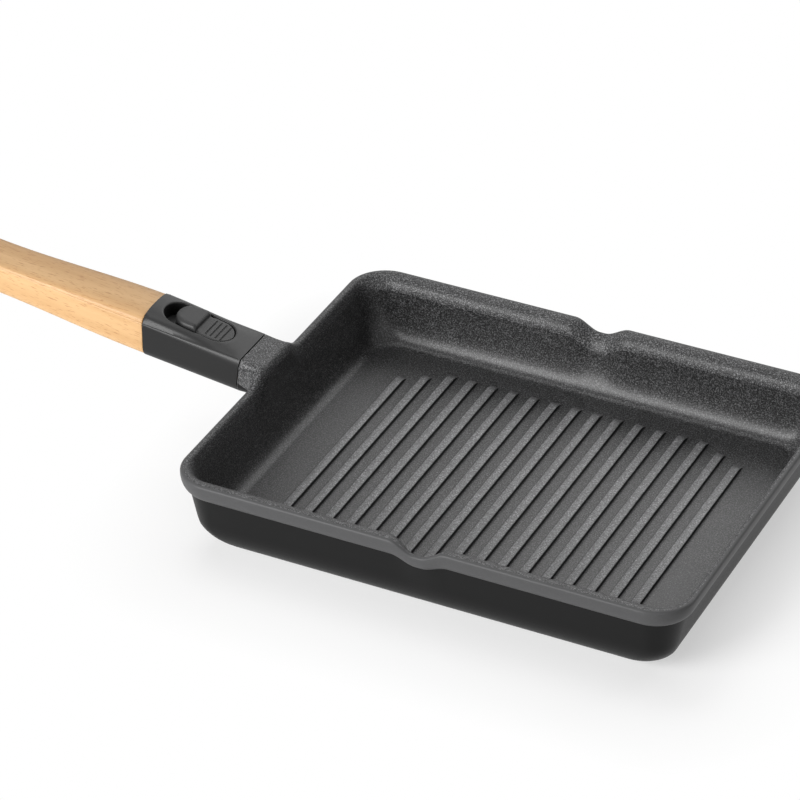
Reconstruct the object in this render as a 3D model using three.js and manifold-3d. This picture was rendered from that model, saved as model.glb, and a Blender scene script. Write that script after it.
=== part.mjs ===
// Grill pan with a click-off handle: a cast pan, a moulded ferrule with a thumb slide, and a beech grip.
// Millimetres, +Z up. The origin is the centre of the base, and the handle points towards -X.

import * as THREE from 'three';
import { mergeVertices } from 'three/addons/utils/BufferGeometryUtils.js';
import Module from 'manifold-3d';

const wasm = await Module();
wasm.setup();

// Pan: outline and outer wall
const panLength = 268;
const panWidth = 220;
const panHeight = 46;
const lipCornerRadius = 20.5;
const cornerTightening = 1;
const wallCornerRadius = 12;
const baseCornerRadius = 15.5;
const innerCornerRadius = 15;
const lipBandDepth = 9;
const lipOverhang = 4.4;
const lipEdgeRound = 1.6;
const wallSpread = 3.4;
const wallFootHeight = 18.5;
const baseCurveReach = 23;

// Pan: rim, inner wall and floor
const rimFlat = 1.6;
const rimWidth = 7.3;
const rimInnerRound = 4.2;
const rimInnerLean = 0.4;
const rimRollDepth = 19;
const rimRollReach = 1.7;
const innerWallSpread = 4.2;
const floorThickness = 11.5;
const floorFilletHeight = 5.5;
const floorFilletReach = 6.8;
const floorCornerReach = 1.4;

// Pan: grill ribs on the floor
const ribCount = 17;
const ribPitch = 11.6;
const ribTopWidth = 4.6;
const ribHeight = 1.8;
const ribDraft = 0.35;
const ribEndRamp = 1.6;
const ribHalfLength = 77.6;
const ribChamferStart = 69.6;
const ribChamferSlope = 0.54;
const ribRoot = 0.8;

// Pan: pour spouts in the two long walls
const spoutWidth = 36;
const spoutFlat = 7;
const spoutDip = 5.8;
const spoutReachDown = 24;

// Pan: lug that carries the handle
const humpHeight = 7.3;
const humpFlatWidth = 6;
const humpWidth = 78;
const humpReachDown = 16;
const lugLength = 11.3;
const lugBuried = 2;
const lugRootFlat = 22;
const lugRootLean = 0.19;
const lugFlare = 12;
const lugBottomFlare = 5;
const lugBottomRise = 1;
const handleTilt = THREE.MathUtils.degToRad(6.8);

// Tongue of the casting that the handle slides onto
const tongueWidth = 16;
const tongueThickness = 5.4;
const tongueLength = 32.5;
const tongueTipChamfer = 1.5;

// Steel plate let into the base
const plateLength = 176;
const plateWidth = 126;
const plateThickness = 1.2;
const plateCornerRadius = 18;

// Fits
const clearance = 0.3;
const seamGap = 0.3;
const fitRoom = 2 * clearance;
const tongueTipRoom = 1;
const barStandoff = 2.5;
const shoeLead = 1;
const springSideGap = 0.4;
const stirrupSideGap = 0.7;
const screwEdge = 0.2;
const screwPoint = 0.6;
const overcut = 1;

// Handle: ferrule
const ferruleSideWall = 5.4;
const ferruleRearNarrowing = 0.4;
const ferruleFrontWall = 5;
const bulkhead = 10.7;
const crownHeight = 4.9;
const crownShoulder = 0.8;
const crownFlat = 0.6;
const frontCornerWidth = 3.4;
const frontCornerDepth = 6;
const rearCornerWidth = 0.6;
const rearCornerDepth = 1.2;
const bottomCornerRadius = 7;
const recessDepth = 3;
const deckThickness = 2;
const spigotDiameter = 9;
const spigotLength = 10;
const jointLean = THREE.MathUtils.degToRad(6.5);

// Handle: thumb slide, its shoe and screw
const slideLength = 31.6;
const slideWidth = 17.4;
const slideFront = 11.4;
const slideTravel = 6;
const slideEndRoom = 0.5;
const humpTop = 5.8;
const humpLength = 15;
const humpEdgeRound = 1.5;
const humpStep = 2.6;
const rampHigh = 2.3;
const rampLow = 1;
const grooveCount = 4;
const groovePitch = 2.75;
const grooveLength = 13.4;
const grooveWidth = 0.7;
const grooveDepth = 0.7;
const stemLength = 9;
const stemWidth = 5.4;
const stemOffset = 5;
const shoeLength = 12.5;
const shoeThickness = 2.3;
const stirrupBar = 1.4;
const stirrupLength = 2;
const stirrupArm = 1.4;
const slideScrewDiameter = 2.6;
const slideScrewHead = 4.4;
const slideScrewHeadDepth = 1.1;
const slideScrewBite = 4;

// Handle: slide springs
const springDiameter = 3.4;
const springWire = 0.6;
const springTurns = 7;

// Handle: latch leaf and its screws
const leafThickness = 0.8;
const leafWidth = 9;
const leafGap = 0.9;
const leafDip = 1.1;
const hookLength = 3.5;
const hookDepth = 1.7;
const hookStandoff = 2;
const hookTipChamfer = 0.8;
const dipRamp = 3;
const bossLength = 5;
const leafScrewDiameter = 2;
const leafScrewHead = 3.4;
const leafScrewHeadDepth = 1;
const leafScrewBite = 3;
const leafScrewSpacing = 4.8;

// Handle: steel channel round the tongue, and the cover under it
const linerWall = 1;
const coverThickness = 2.1;
const coverLap = 4.7;
const coverTabLength = 2;
const coverTabWidth = 10;
const coverTabThickness = 1;
const coverScrewDiameter = 2.4;
const coverScrewHead = 4.4;
const coverScrewHeadDepth = 1.1;
const coverScrewLength = 9;
const coverScrewSpacing = 12;

// Handle: grip, bolt, washer and threaded insert
const gripLength = 150;
const gripLeanRun = 40;
const gripWaistAt = 92;
const gripWaistWidth = 23.8;
const gripWaistHeight = 17.3;
const gripWaistDrop = 1.4;
const gripFrontCrown = 3.8;
const gripWaistCrown = 1.7;
const gripStepIn = 0.2;
const gripButtWidth = 26.5;
const gripButtHeight = 19;
const gripButtRound = 14;
const gripButtDraw = 0.5;
const boltDiameter = 4;
const boltHeadDiameter = 6.2;
const boltHeadLength = 3;
const boltKeySize = 3;
const boltKeyDepth = 2;
const boltBite = 18;
const washerDiameter = 9;
const washerThickness = 1;
const insertDiameter = 7.5;
const insertLength = 20;

// Layers of the ferrule, measured down from the plane of its top corners
const recessFloor = -recessDepth;
const deckUnderside = recessFloor - deckThickness;
const shoeTop = deckUnderside - clearance;
const shoeUnderside = shoeTop - shoeThickness;
const leafTop = shoeUnderside - leafGap;
const leafUnderside = leafTop - leafThickness;
const barTop = leafUnderside - clearance;
const barUnderside = barTop - stirrupBar;
const tongueTop = barUnderside - clearance;
const tongueUnderside = tongueTop - tongueThickness;
const linerFloorTop = tongueUnderside - clearance;
const linerUnderside = linerFloorTop - linerWall;
const coverTop = linerUnderside - clearance;
const ferruleBottom = coverTop - coverThickness;
const bossUnderside = leafTop + clearance;
const boltAxis = linerFloorTop + clearance + washerDiameter / 2;
const springAxis = deckUnderside - clearance - springDiameter / 2;

// Widths of the ferrule, measured from its middle plane
const linerInnerHalf = tongueWidth / 2 + clearance;
const linerOuterHalf = linerInnerHalf + linerWall;
const cavityHalf = linerOuterHalf + clearance;
const ferruleHalf = cavityHalf + ferruleSideWall;
const springOffset = leafWidth / 2 + springSideGap + springDiameter / 2;
const shoeHalf = springOffset + springDiameter / 2;
const stirrupOuterHalf = leafWidth / 2 + stirrupSideGap + stirrupArm;

// Stations along the handle, measured from the seam at the lug towards the butt
const cavityFront = ferruleFrontWall;
const hookFront = cavityFront + hookStandoff;
const hookRear = hookFront + hookLength;
const barFront = hookRear + slideEndRoom + barStandoff;
const shoeFront = barFront - shoeLead;
const shoeRear = shoeFront + shoeLength;
const stemFront = slideFront + stemOffset;
const stemRear = stemFront + stemLength;
const bossFront = Math.max(shoeRear + slideTravel + slideEndRoom + clearance, tongueLength + tongueTipRoom);
const bossRear = bossFront + bossLength;
const boltHeadFront = bossRear + clearance;
const boltHeadRear = boltHeadFront + boltHeadLength;
const washerFront = boltHeadRear + clearance;
const washerRear = washerFront + washerThickness;
const flangeFront = washerRear + clearance;
const flangeRear = flangeFront + linerWall;
const bulkheadFront = flangeRear + clearance;
const ferruleLength = bulkheadFront + bulkhead;
const slideRear = slideFront + slideLength;
const recessFront = slideFront - clearance;
const recessRear = slideRear + slideTravel + slideEndRoom;
const gripFront = ferruleLength + seamGap;
const insertFront = ferruleLength + spigotLength + 2 * clearance;
const insertRear = insertFront + insertLength;
const boltRear = insertFront + boltBite;

// Places that the pieces share in the pan's frame
const lugStart = -panLength / 2 + lugBuried;
const seamX = lugStart - lugLength;
const lugTop = panHeight + humpHeight;
const seamZ = lugTop + lugLength * Math.tan(handleTilt);
const floorInset = rimWidth + innerWallSpread + floorFilletReach;
const seamTransform = new THREE.Matrix4()
  .makeTranslation(seamX, 0, seamZ)
  .multiply(new THREE.Matrix4().makeRotationY(handleTilt));

// Finishes
const coating = new THREE.MeshStandardMaterial({ color: 0x3d3d3f, roughness: 0.7, metalness: 0.1 });
const steel = new THREE.MeshStandardMaterial({ color: 0xa9abae, roughness: 0.4, metalness: 1 });
const springSteel = new THREE.MeshStandardMaterial({ color: 0x7d8086, roughness: 0.35, metalness: 1 });
const brass = new THREE.MeshStandardMaterial({ color: 0xb5924f, roughness: 0.35, metalness: 1 });
const moulding = new THREE.MeshStandardMaterial({ color: 0x474749, roughness: 0.65, metalness: 0 });
const slideMoulding = new THREE.MeshStandardMaterial({ color: 0x505052, roughness: 0.6, metalness: 0 });
const beech = new THREE.MeshStandardMaterial({ color: 0xd8ac78, roughness: 0.55, metalness: 0 });

const { lerp, clamp } = THREE.MathUtils;

// A soft step from 0 to 1
function ease(t) {
  const s = clamp(t, 0, 1);
  return s * s * (3 - 2 * s);
}

// Evenly spaced shares from 0 to 1
function evenly(count) {
  return Array.from({ length: count }, (_, i) => i / (count - 1));
}

function solidOf(geometry) {
  const bare = geometry.index ? geometry.toNonIndexed() : geometry.clone();
  bare.deleteAttribute('normal');
  bare.deleteAttribute('uv');
  const welded = mergeVertices(bare, 1e-4);
  const mesh = new wasm.Mesh({
    numProp: 3,
    vertProperties: new Float32Array(welded.attributes.position.array),
    triVerts: new Uint32Array(welded.index.array),
  });
  return new wasm.Manifold(mesh);
}

function geometryOf(solid) {
  const mesh = solid.getMesh();
  const geometry = new THREE.BufferGeometry();
  geometry.setAttribute('position', new THREE.BufferAttribute(new Float32Array(mesh.vertProperties), 3));
  geometry.setIndex(new THREE.BufferAttribute(new Uint32Array(mesh.triVerts), 1));
  geometry.computeVertexNormals();
  return geometry;
}

function joined(first, ...others) {
  return others.reduce((sum, other) => sum.add(other), first);
}

function cut(solid, ...tools) {
  return tools.reduce((rest, tool) => rest.subtract(tool), solid);
}

function nodeMesh(name, shape, material) {
  const geometry = shape.isBufferGeometry ? shape : geometryOf(shape);
  const mesh = new THREE.Mesh(geometry, material);
  mesh.name = name;
  return mesh;
}

function signedVolume(positions, index) {
  const corner = (i) => new THREE.Vector3().fromArray(positions, 3 * index[i]);
  let sum = 0;
  for (let i = 0; i < index.length; i += 3) {
    sum += corner(i).dot(corner(i + 1).cross(corner(i + 2)));
  }
  return sum;
}

// Closed skin through rings of equal count, with a fan over each end ring
function loft(rings) {
  const count = rings[0].length;
  const positions = [];
  const index = [];
  rings.flat().forEach((p) => positions.push(p.x, p.y, p.z));
  for (let r = 0; r + 1 < rings.length; r++) {
    for (let i = 0; i < count; i++) {
      const j = (i + 1) % count;
      const low = r * count;
      const high = low + count;
      index.push(low + i, low + j, high + j, low + i, high + j, high + i);
    }
  }
  const fan = (ring, start, flip) => {
    const middle = ring.reduce((sum, p) => sum.add(p), new THREE.Vector3()).divideScalar(count);
    const hub = positions.length / 3;
    positions.push(middle.x, middle.y, middle.z);
    for (let i = 0; i < count; i++) {
      const j = (i + 1) % count;
      index.push(hub, start + (flip ? j : i), start + (flip ? i : j));
    }
  };
  fan(rings[0], 0, true);
  fan(rings[rings.length - 1], (rings.length - 1) * count, false);
  if (signedVolume(positions, index) < 0) index.reverse();
  const geometry = new THREE.BufferGeometry();
  geometry.setAttribute('position', new THREE.BufferAttribute(new Float32Array(positions), 3));
  geometry.setIndex(index);
  return geometry;
}

// Points along a path, with a chosen number of steps on each of its curves
function pointsAlong(path, steps) {
  const points = path.curves.flatMap((curve, c) =>
    Array.from({ length: steps[c] }, (_, k) => curve.getPoint(k / steps[c])));
  const end = path.curves[path.curves.length - 1].getPoint(1);
  return { points, end };
}

// Solids of the handle, placed by their distance from the seam (u), across (v) and up (w)
function block(u0, u1, v0, v1, w0, w1) {
  const box = new THREE.BoxGeometry(u1 - u0, v1 - v0, w1 - w0);
  return solidOf(box.translate(-(u0 + u1) / 2, (v0 + v1) / 2, (w0 + w1) / 2));
}

function rodAlong(u0, u1, w, diameter, sides = 24) {
  const rod = new THREE.CylinderGeometry(diameter / 2, diameter / 2, u1 - u0, sides);
  return solidOf(rod.rotateZ(Math.PI / 2).translate(-(u0 + u1) / 2, 0, w));
}

function rodUp(u, v, w0, w1, diameter, sides = 20) {
  const rod = new THREE.CylinderGeometry(diameter / 2, diameter / 2, w1 - w0, sides);
  return solidOf(rod.rotateX(Math.PI / 2).translate(-u, v, (w0 + w1) / 2));
}

function pill(u0, u1, halfWidth, w0, w1) {
  const shape = new THREE.Shape();
  shape.absarc(-u0 - halfWidth, 0, halfWidth, -Math.PI / 2, Math.PI / 2, false);
  shape.absarc(-u1 + halfWidth, 0, halfWidth, Math.PI / 2, 1.5 * Math.PI, false);
  const depth = w1 - w0;
  const prism = new THREE.ExtrudeGeometry(shape, { depth, bevelEnabled: false, curveSegments: 14 });
  return solidOf(prism.translate(0, 0, w0));
}

// A side profile in (u, w) carried across the width of the handle
function acrossHandle(shape, width, curveSegments) {
  const slab = new THREE.ExtrudeGeometry(shape, { depth: width, bevelEnabled: false, curveSegments });
  return solidOf(slab.rotateX(Math.PI / 2).translate(0, width / 2, 0));
}

// Pan: section of the wall as inset from the lip and height, from the base round the lip to the floor
function panProfile() {
  const creaseZ = panHeight - lipEdgeRound - lipBandDepth;
  const footInset = lipOverhang + wallSpread;
  const wallLean = wallSpread / (creaseZ - wallFootHeight);
  const cornerInset = footInset + wallLean * wallFootHeight;
  const footInner = rimWidth + innerWallSpread;
  const filletTop = floorThickness + floorFilletHeight;
  const path = new THREE.Path();
  path.moveTo(footInset + baseCurveReach, 0);
  path.quadraticCurveTo(cornerInset, 0, footInset, wallFootHeight);
  path.lineTo(lipOverhang, creaseZ);
  path.bezierCurveTo(
    lipOverhang * 0.45, creaseZ + lipBandDepth * 0.12,
    0, creaseZ + lipBandDepth * 0.45,
    0, panHeight - lipEdgeRound);
  path.quadraticCurveTo(0, panHeight, lipEdgeRound, panHeight);
  path.lineTo(lipEdgeRound + rimFlat, panHeight);
  path.quadraticCurveTo(rimWidth, panHeight, rimWidth + rimInnerLean, panHeight - rimInnerRound);
  path.quadraticCurveTo(rimWidth + rimRollReach, panHeight - rimRollDepth, footInner, filletTop);
  path.quadraticCurveTo(
    footInner + floorCornerReach, floorThickness, footInner + floorFilletReach, floorThickness);
  const steps = [6, 2, 5, 3, 1, 3, 5, 5];
  const outerCount = steps.slice(0, 5).reduce((sum, n) => sum + n);
  const { points, end } = pointsAlong(path, steps);
  return [...points, end].map((p, i) => ({ inset: p.x, z: p.y, inner: i >= outerCount }));
}

// How far the rim drops at a spout, and rises at the lug, at a place along the wall
function spoutShape(x) {
  return 1 - ease((Math.abs(x) - spoutFlat / 2) / ((spoutWidth - spoutFlat) / 2));
}

function humpShape(y) {
  return 1 - ease((Math.abs(y) - humpFlatWidth / 2) / ((humpWidth - humpFlatWidth) / 2));
}

function reachShare(z, depth) {
  return clamp(1 - (panHeight - z) / depth, 0, 1);
}

// Pan: one closed ring of the wall at an inset and height, counter-clockwise from above
function panRing({ inset, z, inner }) {
  const halfX = panLength / 2 - inset;
  const halfY = panWidth / 2 - inset;
  const least = inner ? innerCornerRadius : wallCornerRadius;
  const tightened = Math.max(lipCornerRadius - inset * cornerTightening, least);
  const radius = inner ? tightened : lerp(baseCornerRadius, tightened, ease(z / wallFootHeight));
  const cornerSteps = 6;
  const spoutPlaces = evenly(11).map((t) => (t - 0.5) * spoutWidth);
  const humpPlaces = evenly(13).map((t) => (t - 0.5) * humpWidth);
  const ring = [];
  const corner = (signX, signY, from) => {
    for (let k = 0; k <= cornerSteps; k++) {
      const angle = from + (k / cornerSteps) * Math.PI / 2;
      const x = signX * (halfX - radius) + radius * Math.cos(angle);
      ring.push(new THREE.Vector3(x, signY * (halfY - radius) + radius * Math.sin(angle), z));
    }
  };
  const dip = (x) => z - spoutDip * spoutShape(x) * reachShare(z, spoutReachDown);
  const rise = (y) => z + humpHeight * humpShape(y) * reachShare(z, humpReachDown);
  corner(1, -1, -Math.PI / 2);
  corner(1, 1, 0);
  spoutPlaces.forEach((x) => ring.push(new THREE.Vector3(-x, halfY, dip(x))));
  corner(-1, 1, Math.PI / 2);
  humpPlaces.forEach((y) => ring.push(new THREE.Vector3(-halfX, -y, rise(y))));
  corner(-1, -1, Math.PI);
  spoutPlaces.forEach((x) => ring.push(new THREE.Vector3(x, -halfY, dip(x))));
  return ring;
}

// Half length of a rib at a distance from the middle of the field, whose corners are cut off slantwise
function ribReach(offset) {
  return ribHalfLength - ribChamferSlope * Math.max(0, offset - ribChamferStart);
}

function rib(number) {
  const offset = (number - (ribCount - 1) / 2) * ribPitch;
  const reach = ribReach(Math.abs(offset));
  const levels = [
    { z: floorThickness - ribRoot, half: ribTopWidth / 2 + ribDraft, end: reach + ribEndRamp },
    { z: floorThickness, half: ribTopWidth / 2 + ribDraft, end: reach + ribEndRamp },
    { z: floorThickness + ribHeight, half: ribTopWidth / 2, end: reach },
  ];
  const rings = levels.map(({ z, half, end }) => {
    const nose = half * 0.5;
    const plan = [[half, end - nose], [half - nose, end], [nose - half, end], [-half, end - nose]];
    const whole = [...plan, ...plan.map(([x, y]) => [-x, -y])];
    return whole.map(([x, y]) => new THREE.Vector3(offset + x, y, z));
  });
  return solidOf(loft(rings));
}

// Outline of the handle at a station, from its top left corner round
function handleOutline({ half, crown, top, bottom, cornerWidth, cornerDepth, bottomRadius }) {
  const path = new THREE.Path();
  path.moveTo(cornerWidth - half, top);
  const edge = half - cornerWidth;
  const shoulder = top + crown * crownShoulder;
  const peak = top + crown;
  path.bezierCurveTo(-edge, shoulder, -half * crownFlat, peak, 0, peak);
  path.bezierCurveTo(half * crownFlat, peak, edge, shoulder, edge, top);
  path.quadraticCurveTo(half, top, half, top - cornerDepth);
  path.lineTo(half, bottom + bottomRadius);
  path.quadraticCurveTo(half, bottom, half - bottomRadius, bottom);
  path.lineTo(bottomRadius - half, bottom);
  path.quadraticCurveTo(-half, bottom, -half, bottom + bottomRadius);
  path.lineTo(-half, top - cornerDepth);
  path.quadraticCurveTo(-half, top, cornerWidth - half, top);
  return pointsAlong(path, [6, 6, 3, 1, 5, 1, 5, 1, 3]).points;
}

function ferruleSection(u) {
  const t = u / ferruleLength;
  return {
    half: ferruleHalf - ferruleRearNarrowing * t,
    crown: crownHeight * Math.sin(t * Math.PI / 2),
    top: 0,
    bottom: ferruleBottom,
    cornerWidth: lerp(frontCornerWidth, rearCornerWidth, t),
    cornerDepth: lerp(frontCornerDepth, rearCornerDepth, t),
    bottomRadius: bottomCornerRadius,
  };
}

// Grip: narrows from the ferrule to the waist, then swells to the butt
function gripSection(u) {
  const along = u - gripFront;
  const start = ferruleSection(ferruleLength);
  const waist = ease(along / gripWaistAt);
  const swell = ease((along - gripWaistAt) / (gripLength - gripWaistAt));
  const half = lerp(lerp(start.half - gripStepIn, gripWaistWidth / 2, waist), gripButtWidth / 2, swell);
  const height = lerp(lerp(-ferruleBottom - gripStepIn, gripWaistHeight, waist), gripButtHeight, swell);
  const top = -gripWaistDrop * waist;
  const past = clamp((along - gripLength + gripButtRound) / gripButtRound, 0, 1);
  const draw = 1 - gripButtDraw * (1 - Math.sqrt(1 - past * past));
  const shrink = height / 2 * (1 - draw);
  return {
    ...start,
    half: half * draw,
    crown: lerp(gripFrontCrown, gripWaistCrown, waist) * draw,
    top: top - shrink,
    bottom: top - height + shrink,
  };
}

// One ring of the handle's skin, leaning so that its lower side is nearer to the pan
function handleRing(section, u, lean) {
  return handleOutline(section).map((p) => new THREE.Vector3(-u - p.y * Math.tan(lean), p.x, p.y));
}

function ferruleHull(from) {
  const stations = [from, ...[0.2, 0.4, 0.6, 0.8, 1].map((t) => t * ferruleLength)];
  const lean = (u) => jointLean * u / ferruleLength;
  return solidOf(loft(stations.map((u) => handleRing(ferruleSection(u), u, lean(u)))));
}

// Lug: from a wide flared root in the wall to the handle's own section at the seam
function lugRing(t) {
  const seam = ferruleSection(0);
  const run = lugLength * t;
  const spread = lugFlare - Math.sqrt(lugFlare ** 2 - Math.max(0, lugFlare - run) ** 2);
  const drop = lugBottomFlare - Math.sqrt(lugBottomFlare ** 2 - Math.max(0, lugBottomFlare - run) ** 2);
  const top = lerp(lugTop, seamZ, t);
  const bottom = lerp(seamZ + seam.bottom + lugBottomRise, seamZ + seam.bottom, t) - drop;
  const half = seam.half + spread;
  const flat = lerp(lugRootFlat / 2, seam.half - seam.cornerWidth, t);
  const shoulder = lerp(panHeight - lipEdgeRound, top - seam.cornerDepth, ease(t));
  const path = new THREE.Path();
  path.moveTo(-flat, top);
  path.lineTo(flat, top);
  path.bezierCurveTo(
    lerp((flat + half) / 2, half, t), top,
    lerp((flat + half) / 2, half, t), lerp(shoulder, top, t),
    half, shoulder);
  path.lineTo(half, bottom + seam.bottomRadius);
  path.quadraticCurveTo(half, bottom, half - seam.bottomRadius, bottom);
  path.lineTo(seam.bottomRadius - half, bottom);
  path.quadraticCurveTo(-half, bottom, -half, bottom + seam.bottomRadius);
  path.lineTo(-half, shoulder);
  path.bezierCurveTo(
    -lerp((flat + half) / 2, half, t), lerp(shoulder, top, t),
    -lerp((flat + half) / 2, half, t), top,
    -flat, top);
  return pointsAlong(path, [4, 6, 1, 5, 1, 5, 1, 6]).points.map((p) => {
    const root = lugStart + lugRootLean * (lugTop - p.y);
    const face = seamX - (seamZ - p.y) * Math.tan(handleTilt);
    return new THREE.Vector3(lerp(root, face, t), p.x, p.y);
  });
}

function lug() {
  const stations = [0, 0.12, 0.26, 0.42, 0.6, 0.8, 1];
  return solidOf(loft(stations.map(lugRing)));
}

// Tongue with a notch for the latch and a chamfered tip, reaching back into the lug
function tongue() {
  const shape = new THREE.Shape();
  shape.moveTo(lugLength / 2, tongueTop);
  shape.lineTo(-hookFront + clearance, tongueTop);
  shape.lineTo(-hookFront + clearance, tongueTop - hookDepth - clearance);
  shape.lineTo(-hookRear - clearance, tongueTop - hookDepth - clearance);
  shape.lineTo(-hookRear - clearance, tongueTop);
  shape.lineTo(-tongueLength + tongueTipChamfer, tongueTop);
  shape.lineTo(-tongueLength, tongueTop - tongueTipChamfer);
  shape.lineTo(-tongueLength, tongueUnderside + tongueTipChamfer);
  shape.lineTo(-tongueLength + tongueTipChamfer, tongueUnderside);
  shape.lineTo(lugLength / 2, tongueUnderside);
  return acrossHandle(shape, tongueWidth, 1).transform(seamTransform.elements);
}

function plateOutline(grow) {
  const halfX = plateLength / 2 + grow;
  const halfY = plateWidth / 2 + grow;
  const radius = plateCornerRadius + grow;
  const shape = new THREE.Shape();
  shape.absarc(halfX - radius, radius - halfY, radius, -Math.PI / 2, 0, false);
  shape.absarc(halfX - radius, halfY - radius, radius, 0, Math.PI / 2, false);
  shape.absarc(radius - halfX, halfY - radius, radius, Math.PI / 2, Math.PI, false);
  shape.absarc(radius - halfX, radius - halfY, radius, Math.PI, 1.5 * Math.PI, false);
  return shape;
}

function plateSlab(grow, from, to) {
  const depth = to - from;
  const outline = plateOutline(grow);
  const slab = new THREE.ExtrudeGeometry(outline, { depth, bevelEnabled: false, curveSegments: 6 });
  return slab.translate(0, 0, from);
}

function panBody() {
  const shell = solidOf(loft(panProfile().map(panRing)));
  const ribs = Array.from({ length: ribCount }, (_, i) => rib(i));
  const plateRecess = solidOf(plateSlab(clearance, -overcut, plateThickness + clearance));
  return cut(joined(shell, lug(), tongue(), ...ribs), plateRecess);
}

// Ferrule: housing with the slide recess on top, the works cavity open below, and a spigot into the grip
function coverScrewPlaces() {
  const u = bulkheadFront + coverLap / 2;
  return [1, -1].map((side) => ({ u, v: side * coverScrewSpacing / 2 }));
}

function ferrule() {
  const below = ferruleBottom - overcut;
  const mouthHalf = tongueWidth / 2 + clearance;
  const spigot = rodAlong(bulkheadFront + overcut, ferruleLength + spigotLength, boltAxis, spigotDiameter);
  const boss = block(
    bossFront, bulkheadFront + overcut, -leafWidth / 2, leafWidth / 2,
    bossUnderside, deckUnderside + overcut);
  const cavity = block(cavityFront, bulkheadFront, -cavityHalf, cavityHalf, below, deckUnderside);
  const bossClear = block(bossRear, bulkheadFront, -cavityHalf, cavityHalf, below, deckUnderside);
  const coverSeat = block(
    cavityFront, bulkheadFront + coverLap + clearance, -cavityHalf, cavityHalf,
    below, coverTop + clearance);
  const tabSeat = block(
    cavityFront - coverTabLength - clearance, cavityFront + overcut,
    -coverTabWidth / 2 - clearance, coverTabWidth / 2 + clearance,
    coverTop - coverTabThickness - clearance, coverTop + clearance);
  const mouth = block(
    -overcut, cavityFront + overcut, -mouthHalf, mouthHalf,
    tongueUnderside - clearance, tongueTop + clearance);
  const recess = pill(
    recessFront, recessRear, slideWidth / 2 + clearance, recessFloor, humpTop + crownHeight);
  const stemSlot = block(
    stemFront - clearance, stemRear + slideTravel + clearance,
    -stemWidth / 2 - clearance, stemWidth / 2 + clearance, deckUnderside - overcut, recessFloor + overcut);
  const boreEnd = ferruleLength + spigotLength + overcut;
  const bore = rodAlong(bulkheadFront - overcut, boreEnd, boltAxis, boltDiameter + fitRoom);
  const screwHoles = coverScrewPlaces().map(({ u, v }) =>
    rodUp(u, v, below, ferruleBottom + coverScrewLength + clearance, coverScrewDiameter + fitRoom));
  const leafHoles = leafScrewPlaces().map(({ u, v }) =>
    rodUp(
      u, v, bossUnderside - overcut, leafUnderside + leafScrewBite + clearance,
      leafScrewDiameter + fitRoom));
  const hollow = cut(joined(ferruleHull(seamGap), spigot), cavity);
  return cut(joined(hollow, boss), bossClear, coverSeat, tabSeat, mouth, recess, stemSlot, bore,
    ...screwHoles, ...leafHoles);
}

// Cover: closes the cavity flush with the underside, hooked at the front and screwed at the rear
function ferruleCover() {
  const plate = block(
    cavityFront + clearance, bulkheadFront + coverLap, -linerOuterHalf, linerOuterHalf,
    ferruleBottom - overcut, coverTop);
  const tab = block(
    cavityFront - coverTabLength, cavityFront + overcut, -coverTabWidth / 2, coverTabWidth / 2,
    coverTop - coverTabThickness, coverTop);
  const headHoles = coverScrewPlaces().map(({ u, v }) =>
    rodUp(
      u, v, ferruleBottom - overcut, ferruleBottom + coverScrewHeadDepth + clearance,
      coverScrewHead + fitRoom));
  const holes = coverScrewPlaces().map(({ u, v }) =>
    rodUp(u, v, ferruleBottom - overcut, coverTop + overcut, coverScrewDiameter + fitRoom));
  return cut(joined(plate.intersect(ferruleHull(seamGap)), tab), ...headHoles, ...holes);
}

// Screw standing head down: the head's outer face is at w, the thread points up
function screwUp(u, v, w, { head, headDepth, diameter, length }) {
  const drive = head / 2;
  const profile = [
    [0, headDepth / 2], [drive / 2, headDepth / 2], [drive / 2, 0],
    [head / 2 - screwEdge, 0], [head / 2, screwEdge], [head / 2, headDepth],
    [diameter / 2, headDepth], [diameter / 2, length - screwPoint], [0, length],
  ].map(([x, y]) => new THREE.Vector2(x, y));
  return solidOf(new THREE.LatheGeometry(profile, 16).rotateX(Math.PI / 2).translate(-u, v, w));
}

// Liner: bent channel with a rear flange that the bolt holds
function socketLiner() {
  const front = cavityFront + clearance;
  const floor = block(front, flangeRear, -linerOuterHalf, linerOuterHalf, linerUnderside, linerFloorTop);
  const sides = [1, -1].map((side) => {
    const edges = [side * linerInnerHalf, side * linerOuterHalf].sort((a, b) => a - b);
    return block(front, flangeRear, edges[0], edges[1], linerUnderside, tongueTop);
  });
  const springRoom = springAxis - springDiameter / 2 - clearance;
  const flangeTop = Math.min(boltAxis + washerDiameter / 2 - clearance, springRoom);
  const flange = block(flangeFront, flangeRear, -linerOuterHalf, linerOuterHalf, linerUnderside, flangeTop);
  const hole = rodAlong(flangeFront - overcut, flangeRear + overcut, boltAxis, boltDiameter + fitRoom);
  return cut(joined(floor, ...sides, flange), hole);
}

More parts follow.
